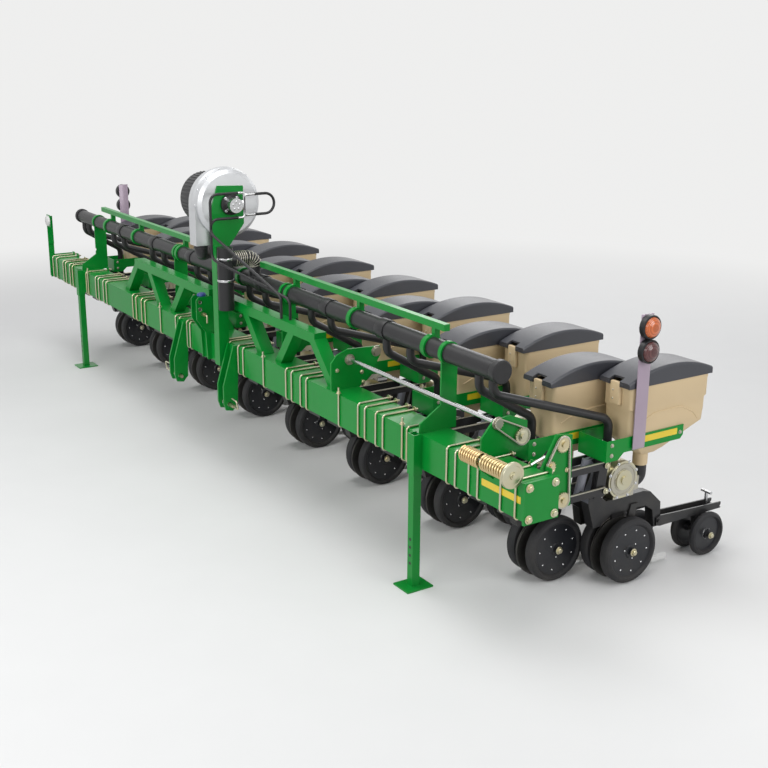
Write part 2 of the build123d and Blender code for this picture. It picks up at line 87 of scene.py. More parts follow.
def addMath(tree, kind, a, b=0.5, clamp=False):
    node = tree.nodes.new("ShaderNodeMath")
    node.operation = kind
    node.use_clamp = clamp
    for i, v in enumerate((a, b)):
        if isinstance(v, (int, float)):
            node.inputs[i].default_value = v
        else:
            tree.links.new(v, node.inputs[i])
    return node.outputs[0]


def addNoise(tree, vector, scale, detail=3.0, rough=0.5):
    node = tree.nodes.new("ShaderNodeTexNoise")
    node.inputs["Detail"].default_value = detail
    node.inputs["Roughness"].default_value = rough
    if isinstance(scale, (int, float)):
        node.inputs["Scale"].default_value = scale
    else:
        tree.links.new(scale, node.inputs["Scale"])
    tree.links.new(vector, node.inputs["Vector"])
    return node.outputs["Fac"]


# camera, floor and light

cameraSet = {
    "place": (7.8443, -4.4485, 3.0711), "azimuth": 56.66, "elevation": 16.63, "roll": 0.41,
    "focalPixels": 1160.7, "frame": 768, "sensor": 36.0,
}


def addCamera(s):
    a, e, r = radians(s["azimuth"]), radians(s["elevation"]), radians(s["roll"])
    look = Vector((-sin(a) * cos(e), cos(a) * cos(e), -sin(e)))
    right = look.cross(Vector((0, 0, 1))).normalized()
    up = right.cross(look)
    across = right * cos(r) + up * sin(r)
    upright = up * cos(r) - right * sin(r)
    data = bpy.data.cameras.new("photoCamera")
    data.sensor_width = s["sensor"]
    data.lens = s["focalPixels"] / s["frame"] * s["sensor"]
    data.clip_start, data.clip_end = 0.05, 200
    cam = bpy.data.objects.new("photoCamera", data)
    bpy.context.scene.collection.objects.link(cam)
    cam.matrix_world = Matrix((across, upright, -look)).transposed().to_4x4()
    cam.location = s["place"]
    bpy.context.scene.camera = cam


addCamera(cameraSet)
bpy.context.scene.view_settings.view_transform = "Standard"

lightSet = {
    "lamps": [  # name, place, aims at, size, watts
        ("overheadSoft", (0.5, -1.5, 8.0), (0.0, 0.0, 0.8), (10.0, 5.0), 430),
        ("frontSoft", (3.0, -8.0, 4.5), (0.5, -0.5, 0.9), (7.0, 3.5), 330),
        ("endSoft", (9.0, 1.5, 4.0), (2.5, 0.0, 0.8), (4.0, 4.0), 200),
        ("backSoft", (-4.0, 7.0, 5.0), (0.0, 0.5, 1.0), (7.0, 4.0), 200),
    ],
    "room": 0.34, "roomColour": (0.94, 0.96, 1.0), "backdrop": (0.86, 0.86, 0.855),
    "floor": (0.74, 0.74, 0.735), "floorRough": 0.75, "floorSpeckle": 3.0, "floorDarker": 0.97,
    "fadeFrom": 4.4, "fadeTo": 10.0, "floorSize": 240,
}


def seenDirectly(tree):
    # 1 for rays that look, reflect or pass through, 0 for rays that only bring light
    path = tree.nodes.new("ShaderNodeLightPath")
    total = path.outputs["Is Camera Ray"]
    for ray in ("Is Glossy Ray", "Is Transmission Ray"):
        total = addMath(tree, "MAXIMUM", total, path.outputs[ray])
    return total


def addLight(s):
    for name, place, aim, size, watts in s["lamps"]:
        data = bpy.data.lights.new(name, "AREA")
        data.shape = "RECTANGLE"
        data.size, data.size_y = size
        data.energy = watts
        lamp = bpy.data.objects.new(name, data)
        bpy.context.scene.collection.objects.link(lamp)
        lamp.location = place
        lamp.rotation_euler = (Vector(aim) - Vector(place)).to_track_quat("-Z", "Y").to_euler()
    world = bpy.data.worlds.new("softRoom")
    bpy.context.scene.world = world
    world.use_nodes = True
    t = world.node_tree
    back = t.nodes["Background"]
    back.inputs["Color"].default_value = (*s["roomColour"], 1)
    back.inputs["Strength"].default_value = s["room"]
    seen = t.nodes.new("ShaderNodeBackground")
    seen.inputs["Color"].default_value = (*s["backdrop"], 1)
    mix = t.nodes.new("ShaderNodeMixShader")
    t.links.new(seenDirectly(t), mix.inputs[0])
    t.links.new(back.outputs[0], mix.inputs[1])
    t.links.new(seen.outputs[0], mix.inputs[2])
    t.links.new(mix.outputs[0], t.nodes["World Output"].inputs["Surface"])


addLight(lightSet)


def addFloor(s):
    bpy.ops.object.select_all(action="DESELECT")
    bpy.ops.mesh.primitive_plane_add(size=s["floorSize"])
    floor = bpy.context.object
    floor.name = "paleFloor"
    bpy.ops.object.mode_set(mode="EDIT")
    bpy.ops.mesh.subdivide(number_cuts=6)
    bpy.ops.object.mode_set(mode="OBJECT")
    mat, t, bsdf = newMaterial("floorPaint")
    place = t.nodes.new("ShaderNodeTexCoord").outputs["Object"]
    darker = tuple(c * s["floorDarker"] for c in s["floor"])
    tint = addMix(t, addNoise(t, place, s["floorSpeckle"], 2.0), s["floor"], darker)
    t.links.new(tint, bsdf.inputs["Base Color"])
    bsdf.inputs["Roughness"].default_value = s["floorRough"]
    # far from the machine the floor runs into the backdrop
    far = t.nodes.new("ShaderNodeVectorMath")
    far.operation = "LENGTH"
    t.links.new(place, far.inputs[0])
    fade = t.nodes.new("ShaderNodeMapRange")
    fade.interpolation_type = "SMOOTHSTEP"
    fade.inputs["From Min"].default_value = s["fadeFrom"]
    fade.inputs["From Max"].default_value = s["fadeTo"]
    t.links.new(far.outputs["Value"], fade.inputs["Value"])
    seen = addMath(t, "MULTIPLY", fade.outputs["Result"], seenDirectly(t))
    glow = t.nodes.new("ShaderNodeEmission")
    glow.inputs["Color"].default_value = (*s["backdrop"], 1)
    mix = t.nodes.new("ShaderNodeMixShader")
    t.links.new(seen, mix.inputs[0])
    t.links.new(bsdf.outputs[0], mix.inputs[1])
    t.links.new(glow.outputs[0], mix.inputs[2])
    t.links.new(mix.outputs[0], t.nodes["Material Output"].inputs["Surface"])
    floor.data.materials.append(mat)


addFloor(lightSet)
print("camera, light and floor placed")


# shared surface effects

def newGroup(name, ins, outs):
    group = bpy.data.node_groups.new(name, "ShaderNodeTree")
    for label, value in ins:
        socket = group.interface.new_socket(label, in_out="INPUT", socket_type="NodeSocketFloat")
        socket.default_value = value
    for label in outs:
        group.interface.new_socket(label, in_out="OUTPUT", socket_type="NodeSocketFloat")
    return group, group.nodes.new("NodeGroupInput"), group.nodes.new("NodeGroupOutput")


effectSet = {
    "dust": [("Reach", 0.7), ("Amount", 0.3), ("Patch", 6.0)], "gap": 0.42, "patchGain": 3.0,
    "speck": 60.0, "speckLeast": 0.3,
    "skin": [("Tone Scale", 4.0), ("Grain Scale", 500.0), ("Scuff Scale", 25.0)],
    "scuffRough": 0.7, "scuffGap": 0.58, "scuffGain": 4.0,
}


def makeFieldDust(s):
    # pale dust that thins out with height and breaks into patches
    group, inp, out = newGroup("fieldDust", s["dust"], ["Dust"])
    place = group.nodes.new("ShaderNodeTexCoord").outputs["Object"]
    split = group.nodes.new("ShaderNodeSeparateXYZ")
    group.links.new(place, split.inputs[0])
    height = addMath(group, "DIVIDE", split.outputs["Z"], inp.outputs["Reach"])
    low = addMath(group, "SUBTRACT", 1.0, height, True)
    cloud = addNoise(group, place, inp.outputs["Patch"], 5)
    cover = addMath(group, "SUBTRACT", cloud, s["gap"], True)
    patch = addMath(group, "MULTIPLY", cover, s["patchGain"], True)
    speck = addMath(group, "ADD", addNoise(group, place, s["speck"], 2), s["speckLeast"])
    both = addMath(group, "MULTIPLY", addMath(group, "MULTIPLY", low, patch), speck)
    group.links.new(addMath(group, "MULTIPLY", both, inp.outputs["Amount"], True), out.inputs["Dust"])
    return group


def makeSkin(s):
    # broad tone, fine grain and scuffs for any finish
    group, inp, out = newGroup("skinDetail", s["skin"], ["Tone", "Grain", "Scuff"])
    place = group.nodes.new("ShaderNodeTexCoord").outputs["Object"]
    group.links.new(addNoise(group, place, inp.outputs["Tone Scale"], 3), out.inputs["Tone"])
    group.links.new(addNoise(group, place, inp.outputs["Grain Scale"], 2), out.inputs["Grain"])
    scuff = addNoise(group, place, inp.outputs["Scuff Scale"], 8, s["scuffRough"])
    scuff = addMath(group, "SUBTRACT", scuff, s["scuffGap"], True)
    group.links.new(addMath(group, "MULTIPLY", scuff, s["scuffGain"], True), out.inputs["Scuff"])
    return group


fieldDust, skinDetail = makeFieldDust(effectSet), makeSkin(effectSet)

finishes = {
    # colour, second tone, tone share, roughness, metallic, coat, grain scale, bump, dust amount, dust reach
    "greenPaint": ((0.001, 0.215, 0.024), (0.002, 0.255, 0.032), 0.45, 0.30, 0.0, 0.10, 700, 0.04, 0.05, 0.9),
    "blackPaint": ((0.011, 0.011, 0.012), (0.020, 0.020, 0.021), 0.6, 0.40, 0.0, 0.20, 420, 0.10, 0.14, 0.7),
    "tanPlastic": ((0.600, 0.460, 0.275), (0.650, 0.505, 0.310), 0.5, 0.50, 0.0, 0.0, 620, 0.10, 0.06, 0.9),
    "lidPlastic": ((0.036, 0.038, 0.046), (0.050, 0.052, 0.062), 0.5, 0.38, 0.0, 0.0, 520, 0.16, 0.05, 1.6),
    "blackPipe": ((0.012, 0.012, 0.013), (0.022, 0.022, 0.024), 0.5, 0.36, 0.0, 0.0, 300, 0.05, 0.08, 1.8),
    "rubber": ((0.016, 0.016, 0.018), (0.026, 0.026, 0.028), 0.5, 0.60, 0.0, 0.0, 380, 0.16, 0.12, 0.4),
    "wheelBlack": ((0.010, 0.011, 0.014), (0.018, 0.019, 0.023), 0.5, 0.36, 0.0, 0.2, 420, 0.06, 0.07, 0.4),
    "zincYellow": ((0.600, 0.470, 0.230), (0.560, 0.540, 0.400), 0.9, 0.32, 0.95, 0.0, 160, 0.05, 0.03, 0.9),
    "zincGrey": ((0.560, 0.540, 0.460), (0.430, 0.410, 0.340), 0.8, 0.36, 0.9, 0.0, 220, 0.07, 0.06, 0.9),
    "fanMetal": ((0.640, 0.650, 0.665), (0.560, 0.570, 0.585), 0.6, 0.38, 0.8, 0.0, 260, 0.05, 0.04, 2.2),
    "discSteel": ((0.160, 0.157, 0.150), (0.100, 0.096, 0.090), 0.7, 0.38, 0.85, 0.0, 180, 0.06, 0.20, 0.4),
    "brightSteel": ((0.640, 0.645, 0.655), (0.520, 0.525, 0.535), 0.5, 0.24, 1.0, 0.0, 300, 0.04, 0.03, 0.9),
    "strutGrey": ((0.150, 0.155, 0.185), (0.190, 0.195, 0.225), 0.5, 0.35, 0.1, 0.3, 500, 0.05, 0.06, 0.9),
    "yellowStrip": ((0.720, 0.520, 0.010), (0.780, 0.580, 0.030), 0.5, 0.35, 0.0, 0.3, 900, 0.05, 0.03, 0.9),
    "paleStrip": ((0.330, 0.250, 0.330), (0.390, 0.310, 0.380), 0.6, 0.30, 0.1, 0.3, 900, 0.06, 0.02, 0.9),
    "whitePlastic": ((0.720, 0.720, 0.710), (0.640, 0.640, 0.620), 0.5, 0.45, 0.0, 0.0, 400, 0.05, 0.10, 0.3),
    "copperSpring": ((0.64, 0.40, 0.19), (0.60, 0.47, 0.25), 0.9, 0.28, 0.95, 0.0, 200, 0.05, 0.02, 0.9),
    "bluePlastic": ((0.015, 0.045, 0.220), (0.022, 0.065, 0.280), 0.5, 0.40, 0.0, 0.1, 400, 0.05, 0.03, 0.9),
}
# where a finish reflects less than common plastic
sheen = {
    "greenPaint": 0.22, "tanPlastic": 0.35, "rubber": 0.3,
    "wheelBlack": 0.3, "blackPaint": 0.3, "blackPipe": 0.35,
}
surfaceSet = {
    "dust": (0.36, 0.32, 0.26), "worn": 0.12, "dull": 0.35, "sheen": 0.5, "coatRough": 0.08, "deep": 0.002,
}


def makeFinish(name, s):
    colour, second, share, rough, metallic, coat, grain, bump, dust, reach = s
    mat, t, bsdf = newMaterial(name)
    skin = t.nodes.new("ShaderNodeGroup")
    skin.node_tree = skinDetail
    skin.inputs["Grain Scale"].default_value = grain
    tone = addMix(t, addMath(t, "MULTIPLY", skin.outputs["Tone"], 2 * share, True), colour, second)
    dirt = t.nodes.new("ShaderNodeGroup")
    dirt.node_tree = fieldDust
    dirt.inputs["Amount"].default_value, dirt.inputs["Reach"].default_value = dust, reach
    t.links.new(addMix(t, dirt.outputs["Dust"], tone, surfaceSet["dust"]), bsdf.inputs["Base Color"])
    worn = addMath(t, "MULTIPLY", skin.outputs["Scuff"], surfaceSet["worn"])
    dull = addMath(t, "MULTIPLY", dirt.outputs["Dust"], surfaceSet["dull"])
    t.links.new(addMath(t, "ADD", addMath(t, "ADD", worn, dull), rough, True), bsdf.inputs["Roughness"])
    bsdf.inputs["Metallic"].default_value = metallic
    bsdf.inputs["Specular IOR Level"].default_value = sheen.get(name, surfaceSet["sheen"])
    bsdf.inputs["Coat Weight"].default_value = coat
    bsdf.inputs["Coat Roughness"].default_value = surfaceSet["coatRough"]
    addBump(t, bsdf, skin.outputs["Grain"], bump, surfaceSet["deep"])
    return mat


finish = {name: makeFinish(name, s) for name, s in finishes.items()}

lensSet = {
    "rings": 60, "rough": 0.14, "coat": 0.6, "bump": 0.5, "deep": 0.002, "brighter": 1.5, "paler": 0.02,
    "lenses": {  # colour, glow
        "amberLens": ((0.40, 0.080, 0.008), 0.06), "redLens": ((0.060, 0.005, 0.005), 0.01),
    },
}


def makeLens(name, colour, glow, s):
    # ribbed lamp plastic
    mat, t, bsdf = newMaterial(name)
    coord = t.nodes.new("ShaderNodeTexCoord")
    rings = t.nodes.new("ShaderNodeTexWave")
    rings.inputs["Scale"].default_value = s["rings"]
    t.links.new(coord.outputs["Object"], rings.inputs["Vector"])
    pale = tuple(min(1, c * s["brighter"] + s["paler"]) for c in colour)
    t.links.new(addMix(t, rings.outputs["Fac"], colour, pale), bsdf.inputs["Base Color"])
    bsdf.inputs["Roughness"].default_value = s["rough"]
    bsdf.inputs["Coat Weight"].default_value = s["coat"]
    bsdf.inputs["Emission Color"].default_value = (*colour, 1)
    bsdf.inputs["Emission Strength"].default_value = glow
    addBump(t, bsdf, rings.outputs["Fac"], s["bump"], s["deep"])
    return mat


for name, (colour, glow) in lensSet["lenses"].items():
    finish[name] = makeLens(name, colour, glow, lensSet)
print("finishes made:", len(finish))


# finishes on the carried-over solids

nodeLooks = {
    "toolbar": ["greenPaint"], "hitch_frame": ["greenPaint"], "brackets": ["greenPaint", "paleStrip"],
    "row_frames": ["blackPaint", "strutGrey", "brightSteel"], "opener_discs": ["discSteel"],
    "drive_and_meters": ["zincYellow", "brightSteel", "zincGrey"], "air_ducts": ["blackPipe"],
    "fan_housing": ["fanMetal", "brightSteel"], "stand_left": ["greenPaint"], "stand_right": ["greenPaint"],
}
wheelSet = {
    "gaugeRadius": 0.200, "gaugeRim": 0.157, "gaugeFace": 0.108, "gaugeReach": 0.129,
    "closingRadius": 0.140, "closingRim": 0.105, "closingFace": 0.098, "closingReach": 0.114,
    "closingBehind": 0.680,
}
unitSet = {
    "strutFront": -0.375, "strutRear": -0.262, "strutHalf": 0.027, "strutFoot": 0.566,
    "handleY": 0.740, "handleZ": 0.334, "handleNear": 0.014,
    "meterY": -0.045, "meterZ": 0.638, "meterSide": 0.046, "meterTop": 0.64, "meterFront": -0.1,
    "armZ": (0.765, 0.610), "armFront": 0.170, "armRear": -0.205,
    "shaftY": -0.748, "shaftZ": 1.121, "shaftFrom": 1.7, "shaftNear": 0.014,
    "stripInner": 3.4543, "stripOuter": 3.4597, "stripFoot": 0.935, "fanFace": 0.3122,
}


def dressNode(name, looks, choose=None):
    mesh = nodes[name].data
    mesh.materials.clear()
    for look in looks:
        mesh.materials.append(finish[look])
    if choose:
        for face in mesh.polygons:
            face.material_index = choose(face.center)


def nearUnit(p):
    return min(rowUnits, key=lambda u: abs(u[1] - p.x))


def rowFrameLook(p):
    number, x, y = nearUnit(p)
    s = unitSet
    if abs(p.x - x) < s["strutHalf"] and s["strutFront"] < p.y - y < s["strutRear"] and p.z > s["strutFoot"]:
        return 1
    return 2 if abs(p.y - y - s["handleY"]) < s["handleNear"] and p.z > s["handleZ"] else 0


def driveLook(p):
    s = unitSet
    if p.x > s["shaftFrom"] and hypot(p.y - s["shaftY"], p.z - s["shaftZ"]) < s["shaftNear"]:
        return 1
    number, x, y = nearUnit(p)
    return 2 if abs(p.x - x) < s["meterSide"] and p.z < s["meterTop"] and p.y > y + s["meterFront"] else 0


def bracketLook(p):
    s = unitSet
    return 1 if s["stripInner"] < abs(p.x) < s["stripOuter"] and p.z > s["stripFoot"] else 0


def fanLook(p):
    return 1 if p.x > unitSet["fanFace"] else 0


def wheelLook(axleY, axleZ, rim):
    return lambda p: 1 if hypot(p.y - axleY, p.z - axleZ) < rim else 0


looksBy = {
    "row_frames": rowFrameLook, "drive_and_meters": driveLook,
    "brackets": bracketLook, "fan_housing": fanLook,
}
for name, looks in nodeLooks.items():
    dressNode(name, looks, looksBy.get(name))
for number, x, y in rowUnits:
    w = wheelSet
    dressNode(f"hopper_lid_{number:02d}", ["lidPlastic"])
    gauge = wheelLook(y, w["gaugeRadius"], w["gaugeRim"])
    dressNode(f"gauge_wheels_{number:02d}", ["rubber", "wheelBlack"], gauge)
    closing = wheelLook(y + w["closingBehind"], w["closingRadius"], w["closingRim"])
    dressNode(f"closing_wheels_{number:02d}", ["rubber", "wheelBlack"], closing)
print("solids dressed")


# ways of working

def freshStart():
    if bpy.context.object and bpy.context.object.mode != "OBJECT":
        bpy.ops.object.mode_set(mode="OBJECT")
    bpy.ops.object.select_all(action="DESELECT")


def pickAll():
    bpy.ops.mesh.select_all(action="SELECT")


def topFace(face):
    return face.normal.z > 0.9


def pickFaces(test):
    # faces of the active piece, chosen by place or normal, left in edit mode
    bpy.ops.object.mode_set(mode="EDIT")
    bpy.ops.mesh.select_mode(type="FACE")
    bpy.ops.mesh.select_all(action="DESELECT")
    bpy.ops.object.mode_set(mode="OBJECT")
    for face in bpy.context.object.data.polygons:
        face.select = test(face)
    bpy.ops.object.mode_set(mode="EDIT")


def endEdit(angle=35):
    bpy.ops.object.mode_set(mode="OBJECT")
    bpy.ops.object.transform_apply()
    bpy.ops.object.shade_smooth_by_angle(angle=radians(angle))
    return bpy.context.object


def softenEdges(width, segments=2):
    # rounds every edge sharper than 30 degrees
    bevel = bpy.context.object.modifiers.new("softEdge", "BEVEL")
    bevel.width, bevel.segments, bevel.limit_method = width, segments, "ANGLE"
    bpy.ops.object.modifier_apply(modifier="softEdge")


def joinPieces(pieces):
    freshStart()
    for piece in pieces:
        piece.select_set(True)
    bpy.context.view_layer.objects.active = pieces[0]
    bpy.ops.object.join()
    return pieces[0]


def settle(piece, name, body, look):
    piece.name = name
    piece.data.materials.clear()
    piece.data.materials.append(finish[look])
    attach(piece, body)


def scatter(name, seed, places, body, look):
    # copies of one modelled seed in a single mesh: point, way its Z points, size
    base = [v.co.copy() for v in seed.data.vertices]
    polys = [tuple(p.vertices) for p in seed.data.polygons]
    points, faces = [], []
    for point, way, size in places:
        turn = Vector((0, 0, 1)).rotation_difference(Vector(way)).to_matrix()
        first = len(points)
        points += [Vector(point) + turn @ (v * size) for v in base]
        faces += [tuple(first + i for i in p) for p in polys]
    mesh = bpy.data.meshes.new(name)
    mesh.from_pydata(points, [], faces)
    piece = bpy.data.objects.new(name, mesh)
    bpy.context.scene.collection.objects.link(piece)
    freshStart()
    piece.select_set(True)
    bpy.context.view_layer.objects.active = piece
    bpy.ops.object.shade_smooth_by_angle(angle=radians(35))
    settle(piece, name, body, look)
    return piece


def copiesAt(points):
    # upright copies at full size, for scatter
    return [((x, y, 0), (0, 0, 1), 1) for x, y in points]


def bentRod(points, radius, bend=0.01, sides=10):
    # a round bar drawn through the points, spun round each corner
    points = [Vector(p) for p in points]
    freshStart()
    way = (points[1] - points[0]).normalized()
    turn = way.to_track_quat("Z", "Y").to_euler()
    bpy.ops.mesh.primitive_circle_add(
        vertices=sides, radius=radius, fill_type="NGON", location=points[0], rotation=turn)
    bpy.ops.object.transform_apply()
    bpy.ops.object.mode_set(mode="EDIT")
    pickAll()
    at = points[0]
    for i in range(1, len(points)):
        way = (points[i] - at).normalized()
        trim = 0
        if i < len(points) - 1:
            after = (points[i + 1] - points[i]).normalized()
            angle, axis = way.angle(after), way.cross(after).normalized()
            trim = bend * tan(angle / 2)
        stop = points[i] - way * trim
        bpy.ops.mesh.extrude_region_move(TRANSFORM_OT_translate={"value": stop - at})
        at = stop
        if trim:
            bpy.ops.mesh.spin(steps=6, angle=-angle, center=stop + axis.cross(way) * bend, axis=axis)
            at = points[i] + after * trim
    pickAll()
    bpy.ops.mesh.remove_doubles(threshold=0.00002)
    bpy.ops.mesh.normals_make_consistent(inside=False)
    return endEdit(50)


def makeTurned(radius, steps, sides=24, angle=40):
    # a turned piece along Z: each step rises and then changes its width
    freshStart()
    bpy.ops.mesh.primitive_circle_add(vertices=sides, radius=radius, fill_type="NGON")
    bpy.ops.object.mode_set(mode="EDIT")
    pickAll()
    for rise, size in steps:
        bpy.ops.mesh.extrude_region_move(TRANSFORM_OT_translate={"value": (0, 0, rise)})
        bpy.ops.transform.resize(value=(size, size, 1))
    pickAll()
    bpy.ops.mesh.normals_make_consistent(inside=False)
    return endEdit(angle)


def makeBlock(size, place, edge):
    # a bar or plate with softened edges
    freshStart()
    bpy.ops.mesh.primitive_cube_add(size=1, location=place)
    bpy.ops.transform.resize(value=size)
    bpy.ops.object.transform_apply()
    softenEdges(edge)
    return endEdit()


# seeds for fasteners, modelled once

def makeHexBolt():
    # head on a washer, unit size is the head's radius
    freshStart()
    bpy.ops.mesh.primitive_cylinder_add(vertices=6, radius=1.0, depth=0.7, location=(0, 0, 0.55))
    pickFaces(topFace)
    bpy.ops.mesh.inset(thickness=0.16)
    bpy.ops.transform.translate(value=(0, 0, 0.12))
    head = endEdit()
    freshStart()
    bpy.ops.mesh.primitive_cylinder_add(vertices=14, radius=1.4, depth=0.2, location=(0, 0, 0.1))
    pickFaces(topFace)
    bpy.ops.mesh.inset(thickness=0.1)
    bpy.ops.transform.translate(value=(0, 0, 0.05))
    return joinPieces([head, endEdit()])


seeds = {
    "bolt": makeHexBolt(),
    "rivet": makeTurned(1.0, ((0.25, 0.92), (0.25, 0.72), (0.14, 0.5)), 10, 60),  # domed head, unit radius
}
print("seeds modelled:", len(seeds))


# bolts that clamp everything to the square bar

uBoltSet = {
    "rod": 0.0065, "bend": 0.020, "behind": 0.040, "nut": 0.014,
    "near": 0.067, "tight": 0.047, "far": -0.011, "linkUnit": 0.330, "linkNear": 0.01,
    "strapWide": 0.044, "strapThick": 0.012, "strapOver": 0.05, "strapEdge": 0.003,
    "extra": [-3.650, -3.530, -2.676, 2.676, 3.530, 3.650],
    "hooks": [-2.627, -0.907, 0.907, 1.920, 2.627],
    "hookRise": 0.050, "hookNut": 0.012, "hookNutRise": 0.012,
}


def uBoltPlaces(s):
    places = []
    for number, x, y in rowUnits:
        inner = 1 if number % 2 else -1
        near = s["tight"] if abs(abs(x) - s["linkUnit"]) < s["linkNear"] else s["near"]
        places += [x + inner * near, x + inner * s["far"]]
    return places + s["extra"]


def addUBolts(s):
    r, plate = s["rod"], s["strapThick"]
    top, bottom, front, rear = barTop + r, barBottom - r, barFront - r, barRear + s["behind"]
    clamp = bentRod([(0, rear, top), (0, front, top), (0, front, bottom), (0, rear, bottom)], r, s["bend"])
    places = uBoltPlaces(s)
    scatter("u_bolts", clamp, copiesAt((x, 0) for x in places), "frame", "zincYellow")
    nuts = [((x, barRear + plate, z), (0, 1, 0), s["nut"]) for x in places for z in (top, bottom)]
    scatter("u_bolt_nuts", seeds["bolt"], nuts, "frame", "zincYellow")
    hook = bentRod([(0, front, barTop + s["hookRise"]), (0, front, bottom), (0, barY, bottom)], r, s["bend"])
    scatter("hook_bolts", hook, copiesAt((x, 0) for x in s["hooks"]), "frame", "zincYellow")
    nuts = [((x, front, barTop + s["hookNutRise"]), (0, 0, 1), s["hookNut"]) for x in s["hooks"]]
    scatter("hook_nuts", seeds["bolt"], nuts, "frame", "zincYellow")
    # strap plates behind the bar where no row bracket takes the nuts
    size = (s["strapWide"], plate, top - bottom + s["strapOver"])
    strap = makeBlock(size, (0, barRear + plate / 2, barZ), s["strapEdge"])
    scatter("u_bolt_straps", strap, copiesAt((x, 0) for x in s["extra"]), "frame", "greenPaint")
    for seed in (clamp, hook, strap):
        bpy.data.objects.remove(seed)


addUBolts(uBoltSet)
print("bar bolts placed")


# wheels: rivets, hub caps and axle nuts

rivetSet = {
    "count": 9, "ring": 0.128, "size": 0.0062, "turn": 0.3,
    "inner": 3, "innerRing": 0.050, "innerSize": 0.0058, "innerTurn": 0.2,
    "nut": 0.017, "closingNut": 0.0153, "cap": 0.036, "capSunk": 0.019,
    "capSteps": ((0.16, 0.94), (0.0, 0.72), (0.26, 0.94), (0.02, 0.8), (-0.06, 0.9)),
}


def ringPlaces(x, y, z, ring, count, side, size, turn=0.0):
    turns = [turn + k * tau / count for k in range(count)]
    return [((x, y + ring * cos(a), z + ring * sin(a)), (side, 0, 0), size) for a in turns]


def addWheelDetails(s, w):
    cap = makeTurned(1.0, s["capSteps"], 20)
    nuts = []
    for number, x, y in rowUnits:
        rivets, caps = [], []
        back, turn, tag = y + w["closingBehind"], s["turn"] * number, f"{number:02d}"
        for side in (-1, 1):
            hub = (x + side * w["gaugeFace"], y, w["gaugeRadius"])
            rivets += ringPlaces(*hub, s["ring"], s["count"], side, s["size"], turn)
            inner = turn + s["innerTurn"]
            rivets += ringPlaces(*hub, s["innerRing"], s["inner"], side, s["innerSize"], inner)
            seat = x + side * (w["closingFace"] - s["capSunk"])
            caps.append(((seat, back, w["closingRadius"]), (side, 0, 0), s["cap"]))
            nuts.append(((x + side * w["gaugeReach"], y, w["gaugeRadius"]), (side, 0, 0), s["nut"]))
            outer = x + side * w["closingReach"]
            nuts.append(((outer, back, w["closingRadius"]), (side, 0, 0), s["closingNut"]))
        scatter(f"gauge_rivets_{tag}", seeds["rivet"], rivets, f"gauge_wheels_{tag}", "brightSteel")
        scatter(f"closing_caps_{tag}", cap, caps, f"closing_wheels_{tag}", "brightSteel")
    scatter("axle_nuts", seeds["bolt"], nuts, "frame", "zincYellow")
    bpy.data.objects.remove(cap)


addWheelDetails(rivetSet, wheelSet)
print("wheel details placed")


# bolts on plates, brackets, meters, fan and hoppers

boltSet = {
    "endPlate": 0.085, "endOut": 3.729, "endSize": 0.017,
    "strapX": -0.012, "strap": [(-0.1112, 1.176), (-0.1112, 1.126)], "strapSize": 0.006,
    "meterRing": 0.110, "meterCount": 8, "meterTurn": 22.5, "meterOut": 0.050, "meterSize": 0.0075,
    "armHalf": 0.0766, "armSize": 0.013,
    "bracketX": 0.1144, "bracketSize": 0.009,
    "bracketBolts": [(0.325, 0.880), (-0.215, 0.896), (-0.215, 0.836)],
    "fan": (0.254, -0.814, 1.925), "fanRing": 0.246, "fanCount": 14, "fanSize": 0.0055,
    "motor": [(0.3304, 0.063, 4, 0.008, 0.8), (0.4102, 0.027, 5, 0.006, 0.3)],  # x, ring, count, size, turn
}


def addBolts(s):
    ends, screws, meters, arms, plates = [], [], [], [], []
    u, e = unitSet, s["endPlate"]
    corners = [(barY + dy, barZ + dz) for dy in (-e, e) for dz in (-e, e)]
    for side in (-1, 1):
        ends += [((side * s["endOut"], y, z), (side, 0, 0), s["endSize"]) for y, z in corners]
    for number, x, y in rowUnits:
        screws += [((x + s["strapX"], y + dy, z), (0, -1, 0), s["strapSize"]) for dy, z in s["strap"]]
        pivots = [(py, z) for z in u["armZ"] for py in (barY + u["armFront"], y + u["armRear"])]
        for side in (-1, 1):
            hub = (x + side * s["meterOut"], y + u["meterY"], u["meterZ"])
            turn = radians(s["meterTurn"])
            meters += ringPlaces(*hub, s["meterRing"], s["meterCount"], side, s["meterSize"], turn)
            face = x + side * s["bracketX"]
            plates += [((face, y + dy, z), (side, 0, 0), s["bracketSize"]) for dy, z in s["bracketBolts"]]
            face = x + side * s["armHalf"]
            arms += [((face, py, z), (side, 0, 0), s["armSize"]) for py, z in pivots]
    scatter("end_plate_bolts", seeds["bolt"], ends, "frame", "zincYellow")
    scatter("strap_screws", seeds["rivet"], screws, "frame", "zincGrey")
    scatter("meter_bolts", seeds["bolt"], meters, "frame", "brightSteel")
    scatter("arm_nuts", seeds["bolt"], arms, "frame", "zincYellow")
    scatter("hopper_bracket_bolts", seeds["bolt"], plates, "frame", "zincGrey")
    x, y, z = s["fan"]
    rim = ringPlaces(x, y, z, s["fanRing"], s["fanCount"], 1, s["fanSize"])
    scatter("fan_rim_bolts", seeds["bolt"], rim, "frame", "brightSteel")
    motor = []
    for out, ring, count, size, turn in s["motor"]:
        motor += ringPlaces(out, y, z, ring, count, 1, size, turn)
    scatter("motor_bolts", seeds["bolt"], motor, "frame", "brightSteel")


addBolts(boltSet)
print("bolts placed")


# plain strips on the hopper brackets and the bar's end

stripSet = {
    "thick": 0.0012, "corner": 0.004, "bar": (3.365, 3.685, 0.819, 0.857),
    "bracket": (0.010, 0.300, 0.872, 0.910), "bracketX": 0.1144,
}


